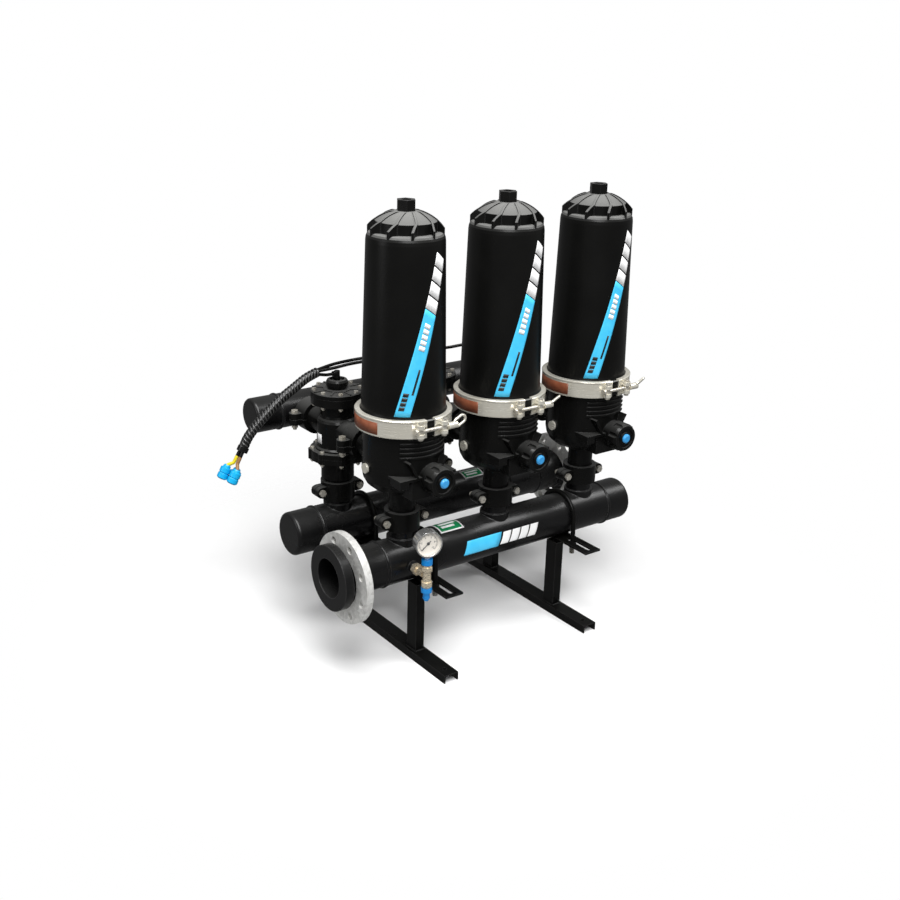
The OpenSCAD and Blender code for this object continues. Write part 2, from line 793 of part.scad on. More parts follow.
module valve_covers() {
    color(plastic) at_valves() difference() {
        union() {
            translate([0, 0, cover_z]) cylinder(r = cover_r, h = cover_t - 4);
            translate([0, 0, cover_z + cover_t - 4]) cylinder(r1 = cover_r, r2 = cover_r - 3, h = 2);
            translate([0, 0, cover_z]) cylinder(r = hub_r, h = cover_t);
            for (k = [0 : valve_bolts_n - 1]) rotate(360 / valve_bolts_n * k) translate([hub_r - 6, -2.5, cover_z])
                cube([cover_r - hub_r + 4, 5, cover_t]);
        }
        translate([0, 0, cover_z - 1]) cylinder(r = hub_r - 10, h = cover_t - 4);
        translate([0, 0, cover_z - 1]) cylinder(r = 5, h = cover_t + 2);
        for (k = [0 : valve_bolts_n - 1]) rotate(360 / valve_bolts_n * (k + 0.5))
            translate([cover_bolt_r, 0, cover_z - 1]) cylinder(r = valve_screw_r, h = cover_t + 2, $fn = 24);
    }
}

// Ring nut that holds the tube elbow on the cover
module valve_rings() {
    color(plastic) at_valves() translate([0, 0, cover_top]) rotate_extrude() polygon([
        [8, 0], [20, 0], [25, 4], [27, 9], [27, 18], [24, 23], [18, 24], [16, 18], [8, 18]]);
}

// Screw with a washer-faced head above and a nut below, through a flange pair from z = 0 up
module valve_bolt(grip) {
    translate([0, 0, grip]) hex_head(10, 5);
    translate([0, 0, -9]) cylinder(r = valve_screw_r, h = grip + 9, $fn = 24);
    translate([0, 0, -6]) difference() {
        hex_head(10, 6);
        translate([0, 0, -1]) cylinder(r = valve_screw_r + hole_room, h = 8, $fn = 24);
    }
}

module valve_bolts() {
    color(zinc) at_valves() for (k = [0 : valve_bolts_n - 1]) rotate(360 / valve_bolts_n * (k + 0.5)) {
        translate([mid_bolt_r, 0, mid_z - mid_t]) valve_bolt(2 * mid_t);
        translate([cover_bolt_r, 0, flange_z - 2]) valve_bolt(cover_top - flange_z);
    }
}

// Spindle with a plug over the lower seat and a piston plate under the diaphragm
module valve_spindle(i) {
    seat_z = mid_z + mid_t + 3;
    plate_z = chamber_z + slack;
    color([0.35, 0.35, 0.36]) translate([valve_x(i), inlet_y, 0]) {
        translate([0, 0, seat_z + slack]) cylinder(r = seat_r + 5, h = 7);
        translate([0, 0, seat_z - 30]) cylinder(r = spindle_r, h = plate_z - seat_z + 33);
        translate([0, 0, plate_z]) cylinder(r = bonnet_r - 10, h = plate_t);
    }
}

// Elbow that takes the control tube into the cover
module tube_elbows() {
    rise = elbow_z - cover_top + 7;
    color(rubber) at_valves() difference() {
        union() {
            translate([0, 0, cover_top - 2]) cylinder(r = 5, h = 2);
            translate([0, 0, cover_top]) cylinder(r = 8, h = 18);
            translate([0, 0, cover_top + 18]) cylinder(r = 7, h = rise - 18);
            translate([0, 0, cover_top + rise - 7]) sphere(r = 7);
            translate([0, 0, cover_top + rise - 7]) along_x(-elbow_reach) cylinder(r = 7, h = elbow_reach);
        }
        translate([0, 0, cover_top + rise - 7]) along_x(-elbow_reach - 1) cylinder(d = tube_d, h = 3);
    }
}

// Couplings

// One half of a pipe coupling: joint at z = 0, pipe along z, this half on the -y side
module coupling_half() {
    difference() {
        union() {
            translate([0, 0, -coupling_w / 2]) cylinder(r = coupling_r, h = coupling_w);
            for (side = [-1, 1]) rotate([90, 0, 0]) linear_extrude(lug_t) {
                translate([side * lug_x, 0]) circle(r = lug_r);
                translate([side * (lug_x + 20) / 2, 0]) square([lug_x - 20, 2 * lug_r], center = true);
            }
        }
        translate([-100, -split_gap, -50]) cube([200, 100, 100]);
        translate([0, 0, -gasket_half]) cylinder(r = gasket_r, h = 2 * gasket_half);
        translate([0, 0, -key_end]) cylinder(r = port_r - key_depth, h = 2 * key_end);
        for (z = [-30, key_end]) translate([0, 0, z]) cylinder(r = port_r + lip_room, h = 30 - key_end);
        for (side = [-1, 1]) translate([side * lug_x, 0, 0]) along_y(-50) cylinder(r = bolt_r, h = 100);
    }
}

module coupling() {
    coupling_half();
    mirror([0, 1, 0]) coupling_half();
}

module at_outlet_joints() {
    at_filters() translate([0, 0, outlet_joint_z]) children();
}

module at_inlet_joints() {
    at_valves() translate([0, 0, inlet_joint_z]) children();
}

module at_filter_joints() {
    at_valves() translate([0, filter_coupling_y, port_z]) rotate([-90, 0, 0]) children();
}

module at_drain_joints() {
    at_valves() translate([0, drain_coupling_y, port_z]) rotate([-90, 0, 0]) children();
}

module at_all_joints() {
    at_outlet_joints() children();
    at_inlet_joints() children();
    at_filter_joints() children();
    at_drain_joints() children();
}

module outlet_couplings() {
    color(plastic) at_outlet_joints() coupling();
}

module inlet_couplings() {
    color(plastic) at_inlet_joints() coupling();
}

module filter_couplings() {
    color(plastic) at_filter_joints() coupling();
}

module drain_couplings() {
    color(plastic) at_drain_joints() coupling();
}

module coupling_gaskets() {
    color(rubber) at_all_joints() translate([0, 0, -gasket_half]) ring(gasket_r, port_r, 2 * gasket_half);
}

module coupling_bolts() {
    color(zinc) at_all_joints() for (side = [-1, 1]) translate([side * lug_x, 0, 0]) {
        along_y(-lug_t - 7) hex_head(16, 7);
        along_y(-lug_t) cylinder(r = bolt_r, h = 2 * lug_t + 14);
        difference() {
            along_y(lug_t) hex_head(16, 8);
            along_y(lug_t - 1) cylinder(r = bolt_r + hole_room, h = 12);
        }
    }
}

// Frame

// Children stand at the middle of each frame's crossbar
module at_frames() {
    for (i = pair) translate([bar_x(i), outlet_y, 0]) children();
}

module feet() {
    shift = -(bar_w + post_w) / 2;
    length = foot_reach + manifold_gap + foot_back;
    color(paint) at_frames() translate([shift, -foot_reach, 0]) difference() {
        translate([-foot_w / 2, 0, 0]) cube([foot_w, length, foot_h]);
        translate([-foot_w / 2 + sheet_t, -1, -sheet_t]) cube([foot_w - 2 * sheet_t, length + 2, foot_h]);
        for (y = [anchor_in, length - anchor_in]) translate([0, y, 0]) cylinder(d = anchor_d, h = 2 * foot_h);
    }
}

module posts() {
    shift = -(bar_w + post_w) / 2;
    height = bar_top - foot_h;
    color(paint) at_frames() for (y = [post_y, manifold_gap + post_y]) translate([shift, y, foot_h]) difference() {
        translate([-post_w / 2, -post_d / 2, 0]) cube([post_w, post_d, height]);
        translate([-post_w / 2 + sheet_t, -post_d / 2 + sheet_t, -1])
            cube([post_w - 2 * sheet_t, post_d - 2 * sheet_t, height + 2]);
    }
}

// Slotted flat bars on which both manifolds lie
module crossbars() {
    length = 2 * (bar_reach + frame_middle);
    outer = bar_reach + frame_middle - 10 - slot_l / 2;
    inner = frame_middle - u_bolt_ring - 20;
    color(paint) at_frames() translate([0, frame_middle, bar_top - bar_t]) difference() {
        translate([-bar_w / 2, -length / 2, 0]) cube([bar_w, length, bar_t]);
        for (y = [-outer, -inner, inner, outer]) translate([0, y, -1]) linear_extrude(bar_t + 2) {
            square([slot_w, slot_l - slot_w], center = true);
            for (side = [-1, 1]) translate([0, side * (slot_l - slot_w) / 2]) circle(d = slot_w);
        }
    }
}

// U-bolt over a manifold, with a nut on each leg under the crossbar
module u_bolt() {
    leg = manifold_r + bar_t + u_bolt_end;
    rotate([0, 0, 90]) rotate([90, 0, 0]) rotate_extrude(angle = 180)
        translate([u_bolt_ring, 0]) circle(r = u_bolt_r, $fn = 32);
    for (side = [-1, 1]) translate([0, side * u_bolt_ring, -leg]) {
        cylinder(r = u_bolt_r, h = leg);
        translate([0, 0, u_bolt_end - 11]) difference() {
            hex_head(19, 11);
            translate([0, 0, -1]) cylinder(r = u_bolt_r + hole_room, h = 13);
        }
    }
}

module u_bolts() {
    color(paint) at_frames() for (y = [0, manifold_gap]) translate([0, y, manifold_z]) u_bolt();
}

// Gauge

// Children face +z; the gauge's face looks toward -y, turned a little to the flanged end
module at_gauge() {
    translate([gauge_x, gauge_y, gauge_z]) rotate([0, 0, -gauge_turn]) rotate([90, 0, 0]) children();
}

module gauge_case() {
    rim = 3;
    color(stainless) {
        at_gauge() translate([0, 0, -gauge_t / 2]) difference() {
            cylinder(d = gauge_d, h = gauge_t);
            translate([0, 0, rim]) cylinder(d = gauge_d - 2 * rim, h = gauge_t);
        }
        translate([gauge_x, gauge_y, collar_top]) cylinder(r = 7, h = gauge_z - gauge_d / 2 - collar_top + 1);
    }
}

module gauge_dial() {
    color("white") at_gauge() translate([0, 0, -gauge_t / 2 + 3]) difference() {
        cylinder(d = gauge_d - 6, h = 15);
        translate([0, 0, 12]) cylinder(r = 2, h = 5);
    }
}

// Needle at the zero stop, lower left. It turns about the middle of the dial.
module gauge_needle() {
    reach = gauge_d / 2 - 10;
    color([0.08, 0.08, 0.08]) at_gauge() translate([0, 0, gauge_t / 2 - 8.5]) {
        cylinder(r = 3.5, h = 2);
        translate([0, 0, -2]) cylinder(r = 2 - 0.05, h = 3);
        rotate(225) translate([-9, -0.8, 0.5]) cube([reach + 9, 1.6, 1]);
    }
}

module gauge_glass() {
    color([0.8, 0.9, 0.95, 0.4]) at_gauge() translate([0, 0, gauge_t / 2 - 3]) cylinder(d = gauge_d - 6, h = 2);
}

module gauge_nipple() {
    boss_face = outlet_y - manifold_r - 9;
    color(brass) translate([gauge_x, 0, manifold_z]) {
        along_y(boss_face - 14) hex_head(24, 14);
        along_y(boss_face) cylinder(r = 6, h = 10);
        along_y(gauge_y + 10) cylinder(r = 9, h = boss_face - 14 - gauge_y - 10);
    }
}

module gauge_tee() {
    middle = manifold_z;
    color(brass) translate([gauge_x, gauge_y, 0]) {
        difference() {
            translate([0, 0, tee_bottom]) cylinder(r = 10, h = tee_top - tee_bottom);
            translate([0, 0, middle]) along_y(10) cylinder(r = 12, h = 20);
        }
        translate([0, 0, tee_top - 16]) hex_head(24, 10);
        translate([0, 0, tee_bottom + 4]) hex_head(24, 12);
    }
}

// Blue collars above and below the tee and the tube fitting under it
module gauge_fittings() {
    color(blue) translate([gauge_x, gauge_y, 0]) {
        translate([0, 0, tee_top]) cylinder(r = 13, h = collar_top - tee_top);
        translate([0, 0, tee_bottom - 11]) cylinder(r = 13, h = 11);
        translate([0, 0, fitting_bottom + 6]) cylinder(r = 8, h = tee_bottom - fitting_bottom - 16);
        translate([0, 0, fitting_bottom]) cylinder(r1 = 5, r2 = 9, h = 8);
    }
}

// Control tubes

// Routes of the tubes as [x, height], seen from the front, in the plane of the valves
bundle_start = valve_x(0) - 56;
bundle_route = [
    [bundle_start, elbow_z + 11.5], [bundle_start - 30, elbow_z + 1], [bundle_start - 65, elbow_z - 19],
    [bundle_start - 98, elbow_z - 39], [bundle_start - 147, elbow_z - 77], [bundle_start - 185, elbow_z - 115],
    [bundle_start - 203, elbow_z - 146], [bundle_start - 220, elbow_z - 176]];
tube_steps = 4;

// Smooth curve through four neighbouring points, at t between the middle two
function through(p0, p1, p2, p3, t) =
    0.5 * (2 * p1 + (p2 - p0) * t + (2 * p0 - 5 * p1 + 4 * p2 - p3) * t * t
    + (3 * p1 - p0 - 3 * p2 + p3) * t * t * t);
function pick(route, k) = route[min(max(k, 0), len(route) - 1)];
function smooth(route) = [
    for (k = [0 : len(route) - 2]) for (s = [0 : tube_steps - 1])
        through(pick(route, k - 1), route[k], route[k + 1], pick(route, k + 2), s / tube_steps),
    route[len(route) - 1]];
function unit(v) = v / norm(v);
function heading(path, k) = unit(pick(path, k + 1) - pick(path, k - 1));

// Round tube along a path of [x, y, z] points that never runs along y
module hose(path, diameter, sides = 10) {
    count = len(path);
    points = [for (k = [0 : count - 1]) let (t = heading(path, k), across = unit(cross(t, [0, 1, 0])))
        for (s = [0 : sides - 1]) let (a = 360 * s / sides)
            path[k] + diameter / 2 * (cos(a) * across + sin(a) * cross(across, t))];
    walls = [for (k = [0 : count - 2]) for (s = [0 : sides - 1]) let (n = (s + 1) % sides)
        [k * sides + s, k * sides + n, (k + 1) * sides + n, (k + 1) * sides + s]];
    start = [[for (s = [sides - 1 : -1 : 0]) s]];
    end = [[for (s = [0 : sides - 1]) (count - 1) * sides + s]];
    polyhedron(points, concat(start, walls, end), convexity = 6);
}

module control_bundle() {
    color(rubber) hose(smooth([for (p = bundle_route) [p[0], inlet_y, p[1]]]), bundle_d);
}

// Two tubes run left over the valves into the bundle; the third goes straight in from its own valve
module command_tubes() {
    low = elbow_z + 18;
    mouth = elbow_reach + slack;
    color(rubber) {
        for (i = [1, 2]) let (side = 9 * (i - 1.5), level = low + (i - 1) * (tube_d + 1)) hose(smooth([
            [valve_x(i) - mouth, inlet_y, elbow_z], [valve_x(i) - 40, inlet_y, elbow_z + 2],
            [valve_x(i) - 90, inlet_y, low], [valve_x(i) - 180, inlet_y, low],
            if (i == last) [valve_x(1) + 40, inlet_y, low],
            if (i == last) [valve_x(1) - 90, inlet_y, level],
            if (i == last) [valve_x(1) - 180, inlet_y, level],
            [valve_x(0) + 40, inlet_y, level], [valve_x(0) - 10, inlet_y + 0.8 * side, level - 2 * i],
            [bundle_start + 0.8, inlet_y + side, elbow_z + 15]]), tube_d);
        hose(smooth([[valve_x(0) - mouth, inlet_y, elbow_z], [valve_x(0) - 30, inlet_y, elbow_z + 0.6],
            [bundle_start + 4.4, inlet_y, elbow_z + 5]]), tube_d);
    }
}

// Band round the bundle near its free end
module hose_tie() {
    p = bundle_route[5];
    middle = bundle_route[6];
    q = bundle_route[7];
    tilt = atan2(p[0] - q[0], p[1] - q[1]);
    color(rubber) translate([middle[0], inlet_y, middle[1]]) rotate([0, tilt, 0])
        translate([0, 0, -6]) ring(bundle_d / 2 + 3, bundle_d / 2 + 0.7, 12);
}

// Blue push-in connector on each tube at the free end of the bundle
module hose_connectors() {
    p = bundle_route[6];
    q = bundle_route[7];
    tilt = atan2(p[0] - q[0], p[1] - q[1]);
    ring_r = 16.6;
    color(blue) translate([q[0], inlet_y, q[1]]) rotate([0, tilt, 0]) for (k = [0 : 2]) rotate(120 * k + 30) {
        translate([6, 0, -3]) rotate([0, 135, 0]) cylinder(d = tube_d - 1, h = 15);
        translate([ring_r, 0, -13.6]) rotate_extrude() polygon([
            [0, 0], [7, 0], [9, -3], [9, -6], [13, -8], [13, -19], [11.5, -20], [11.5, -22], [13, -23],
            [13, -33], [9, -36], [0, -36]]);
    }
}

outlet_manifold();
inlet_manifold();
drain_manifold();
manifold_caps();
stub_flanges();
backing_rings();
filter_bases();
filter_lids();
lid_plugs();
lid_seals();
clamp_bands();
clamp_bolts();
clamp_nut(0);  // clamp_nut_1
clamp_nut(1);  // clamp_nut_2
clamp_nut(2);  // clamp_nut_3
port_cap(0);  // port_cap_1
port_cap(1);  // port_cap_2
port_cap(2);  // port_cap_3
cap_plug(0);  // cap_plug_1
cap_plug(1);  // cap_plug_2
cap_plug(2);  // cap_plug_3
side_plugs();
disc_spines();
disc_stack(0);  // disc_stack_1
disc_stack(1);  // disc_stack_2
disc_stack(2);  // disc_stack_3
disc_piston(0);  // disc_piston_1
disc_piston(1);  // disc_piston_2
disc_piston(2);  // disc_piston_3
valve_bottoms();
valve_bodies();
valve_diaphragms();
valve_covers();
valve_rings();
valve_bolts();
valve_spindle(0);  // valve_spindle_1
valve_spindle(1);  // valve_spindle_2
valve_spindle(2);  // valve_spindle_3
tube_elbows();
outlet_couplings();
inlet_couplings();
filter_couplings();
drain_couplings();
coupling_gaskets();
coupling_bolts();
feet();
posts();
crossbars();
u_bolts();
gauge_case();
gauge_dial();
gauge_needle();
gauge_glass();
gauge_nipple();
gauge_tee();
gauge_fittings();
control_bundle();
command_tubes();
hose_tie();
hose_connectors();
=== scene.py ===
import math

import bmesh
import bpy
from mathutils import Matrix, Vector


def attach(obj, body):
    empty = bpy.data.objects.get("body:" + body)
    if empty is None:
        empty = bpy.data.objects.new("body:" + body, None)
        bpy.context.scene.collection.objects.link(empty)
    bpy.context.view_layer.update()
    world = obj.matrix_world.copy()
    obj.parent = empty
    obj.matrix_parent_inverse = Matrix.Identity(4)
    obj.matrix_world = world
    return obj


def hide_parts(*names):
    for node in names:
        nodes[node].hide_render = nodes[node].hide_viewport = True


# Disc filter battery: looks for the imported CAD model. Metres, floor at z = 0.
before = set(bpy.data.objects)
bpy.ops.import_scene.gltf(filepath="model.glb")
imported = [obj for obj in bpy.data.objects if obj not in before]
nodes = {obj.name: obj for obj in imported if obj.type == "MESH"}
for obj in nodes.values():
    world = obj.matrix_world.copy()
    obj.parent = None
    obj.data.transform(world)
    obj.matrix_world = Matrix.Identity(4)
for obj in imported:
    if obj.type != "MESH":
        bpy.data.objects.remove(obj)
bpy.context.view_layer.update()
base = "battery"  # the body that stands still
print("frame loaded:", len(nodes), "nodes")

layout = {
    "filterX": (-0.271, 0.009, 0.289), "valveX": (-0.289, -0.009, 0.271),
    "outletY": -0.158, "inletY": 0.104, "manifoldZ": 0.254, "manifoldR": 0.055, "jointZ": 0.615,
}
filmSeat = 0.00005  # printed films and ink stand this far off the solids


# Camera at the photograph's viewpoint
cameraSet = {
    "place": (-1.7325, -2.3034, 1.5016), "ahead": (0.5597, 0.7512, -0.3499),
    "across": (0.8020, -0.5970, 0.0), "roll": 1.63, "lens": 47.912, "sensor": 36.0,
}


def makeCamera(s):
    ahead = Vector(s["ahead"]).normalized()
    across = Vector(s["across"]).normalized()
    up = across.cross(ahead)
    roll = math.radians(s["roll"])
    right = across * math.cos(roll) + up * math.sin(roll)
    top = up * math.cos(roll) - across * math.sin(roll)
    data = bpy.data.cameras.new("photoCamera")
    data.lens, data.sensor_width = s["lens"], s["sensor"]
    camera = bpy.data.objects.new("photoCamera", data)
    camera.matrix_world = Matrix((right, top, -ahead)).transposed().to_4x4()
    camera.location = s["place"]
    bpy.context.collection.objects.link(camera)
    bpy.context.scene.camera = camera


makeCamera(cameraSet)
bpy.context.scene.view_settings.view_transform = "Standard"


# Small helpers for shader trees
def addNode(tree, kind, **values):
    node = tree.nodes.new(kind)
    for key, value in values.items():
        if key in node.inputs:
            node.inputs[key].default_value = value
        else:
            setattr(node, key, value)
    return node


def newMaterial(name, **sockets):
    mat = bpy.data.materials.new(name)
    mat.use_nodes = True
    shader = mat.node_tree.nodes["Principled BSDF"]
    for key, value in sockets.items():
        shader.inputs[key].default_value = value
    return mat, mat.node_tree, shader


def objectNoise(tree, scale, detail, stretch=(1, 1, 1)):
    coords = addNode(tree, "ShaderNodeTexCoord")
    place = addNode(tree, "ShaderNodeMapping")
    place.inputs["Scale"].default_value = stretch
    noise = addNode(tree, "ShaderNodeTexNoise", Scale=scale, Detail=detail, Roughness=0.55)
    tree.links.new(coords.outputs["Object"], place.inputs["Vector"])
    tree.links.new(place.outputs["Vector"], noise.inputs["Vector"])
    return noise.outputs["Fac"]


def spread(tree, value, low, high, start=0.3, end=0.7):
    node = addNode(tree, "ShaderNodeMapRange")
    for key, number in (("From Min", start), ("From Max", end), ("To Min", low), ("To Max", high)):
        node.inputs[key].default_value = number
    tree.links.new(value, node.inputs["Value"])
    return node.outputs["Result"]


def blendColour(tree, factor, first, second):
    node = addNode(tree, "ShaderNodeMix", data_type="RGBA")
    sockets = [i for i in node.inputs if i.type == "RGBA"]
    for socket, colour in zip(sockets, (first, second)):
        if isinstance(colour, bpy.types.NodeSocket):
            tree.links.new(colour, socket)
        else:
            socket.default_value = (*colour, 1)
    tree.links.new(factor, node.inputs[0])
    return [o for o in node.outputs if o.type == "RGBA"][0]


def mathNode(tree, operation, first, second=None):
    node = addNode(tree, "ShaderNodeMath", operation=operation)
    for socket, value in zip(node.inputs, (first, second)):
        if isinstance(value, bpy.types.NodeSocket):
            tree.links.new(value, socket)
        elif value is not None:
            socket.default_value = value
    return node.outputs[0]


def roundNormal(tree, radius):
    return addNode(tree, "ShaderNodeBevel", samples=4, Radius=radius).outputs["Normal"]


def edgeMask(tree, normal):
    # 1 where the rounded normal leans away from the face, 0 on the flat
    face = addNode(tree, "ShaderNodeNewGeometry")
    lean = addNode(tree, "ShaderNodeVectorMath", operation="DOT_PRODUCT")
    tree.links.new(normal, lean.inputs[0])
    tree.links.new(face.outputs["Normal"], lean.inputs[1])
    return spread(tree, lean.outputs["Value"], low=1.0, high=0.0, start=0.86, end=0.99)


def finishSurface(tree, shader, height, strength, distance, normal=None):
    bump = addNode(tree, "ShaderNodeBump", Strength=strength, Distance=distance)
    tree.links.new(height, bump.inputs["Height"])
    if normal:
        tree.links.new(normal, bump.inputs["Normal"])
    tree.links.new(bump.outputs["Normal"], shader.inputs["Normal"])


# Finishes
def mouldedPlastic(name, s):
    mat, tree, shader = newMaterial(name, **{"Specular IOR Level": s["gloss"]})
    cloud = objectNoise(tree, s["cloud"], detail=4)
    grain = objectNoise(tree, s["grain"], detail=2)
    normal = roundNormal(tree, s["edgeRadius"])
    tone = blendColour(tree, spread(tree, cloud, 0, 1), s["dark"], s["light"])
    if s["topSheen"]:  # painted highlight: paler where the surface looks up
        face = addNode(tree, "ShaderNodeNewGeometry")
        axes = addNode(tree, "ShaderNodeSeparateXYZ")
        tree.links.new(face.outputs["Normal"], axes.inputs[0])
        upward = spread(tree, axes.outputs["Z"], low=0, high=s["topSheen"], start=0.35, end=1.0)
        tone = blendColour(tree, upward, tone, s["sheenTone"])
    # paler edges: partly wear, partly a painted highlight along the rims
    wornAndLitEdge = mathNode(tree, "MULTIPLY", edgeMask(tree, normal), s["edgeWearAndSheen"])
    tree.links.new(blendColour(tree, wornAndLitEdge, tone, s["edge"]), shader.inputs["Base Color"])
    tree.links.new(spread(tree, cloud, *s["rough"]), shader.inputs["Roughness"])
    finishSurface(tree, shader, grain, strength=s["bump"], distance=0.0004, normal=normal)
    return mat


def bareMetal(name, s):
    mat, tree, shader = newMaterial(name, Metallic=s["metal"])
    streak = objectNoise(tree, s["scale"], detail=5, stretch=s["stretch"])
    stain = spread(tree, objectNoise(tree, scale=14, detail=4), 0, s["stain"])
    tone = blendColour(tree, spread(tree, streak, 0, 1), s["dark"], s["light"])
    tree.links.new(blendColour(tree, stain, tone, s["stainTone"]), shader.inputs["Base Color"])
    tree.links.new(spread(tree, streak, *s["rough"]), shader.inputs["Roughness"])
    finishSurface(tree, shader, streak, strength=s["bump"], distance=0.0003, normal=roundNormal(tree, s["edgeRadius"]))
    return mat


def zincSpangle(name, s):
    mat, tree, shader = newMaterial(name, Metallic=s["metal"])
    coords = addNode(tree, "ShaderNodeTexCoord")
    cells = addNode(tree, "ShaderNodeTexVoronoi", Scale=s["cells"])
    tree.links.new(coords.outputs["Object"], cells.inputs["Vector"])
    bright = addNode(tree, "ShaderNodeSeparateColor")
    tree.links.new(cells.outputs["Color"], bright.inputs["Color"])
    cloud = objectNoise(tree, scale=18, detail=5)
    flakes = blendColour(tree, bright.outputs["Red"], s["dark"], s["light"])
    weathered = spread(tree, cloud, low=0, high=0.45)
    tree.links.new(blendColour(tree, weathered, flakes, s["dull"]), shader.inputs["Base Color"])
    tree.links.new(spread(tree, bright.outputs["Green"], *s["rough"], start=0, end=1), shader.inputs["Roughness"])
    finishSurface(tree, shader, cloud, strength=0.15, distance=0.0003, normal=roundNormal(tree, s["edgeRadius"]))
    return mat


def printedFilm(name, tone, wear):
    mat, tree, shader = newMaterial(name, **{"Specular IOR Level": 0.35})
    cloud = objectNoise(tree, scale=55, detail=4)
    tree.links.new(blendColour(tree, spread(tree, cloud, 0, 1), tone, wear), shader.inputs["Base Color"])
    tree.links.new(spread(tree, cloud, low=0.36, high=0.5), shader.inputs["Roughness"])
    finishSurface(tree, shader, objectNoise(tree, scale=900, detail=2), strength=0.05, distance=0.0002)
    return mat


def wrapPlastic(name, s):
    # dark ribbons over a gap painted paler as a highlight, told apart by the attribute that the wrap tree stores
    mat, tree, shader = newMaterial(name, **{"Specular IOR Level": s["gloss"], "Roughness": s["rough"]})
    ribbon = addNode(tree, "ShaderNodeAttribute", attribute_name="ribbon")
    tree.links.new(blendColour(tree, ribbon.outputs["Fac"], s["gap"], s["tone"]), shader.inputs["Base Color"])
    finishSurface(tree, shader, objectNoise(tree, scale=700, detail=2), strength=0.1, distance=0.0002)
    return mat
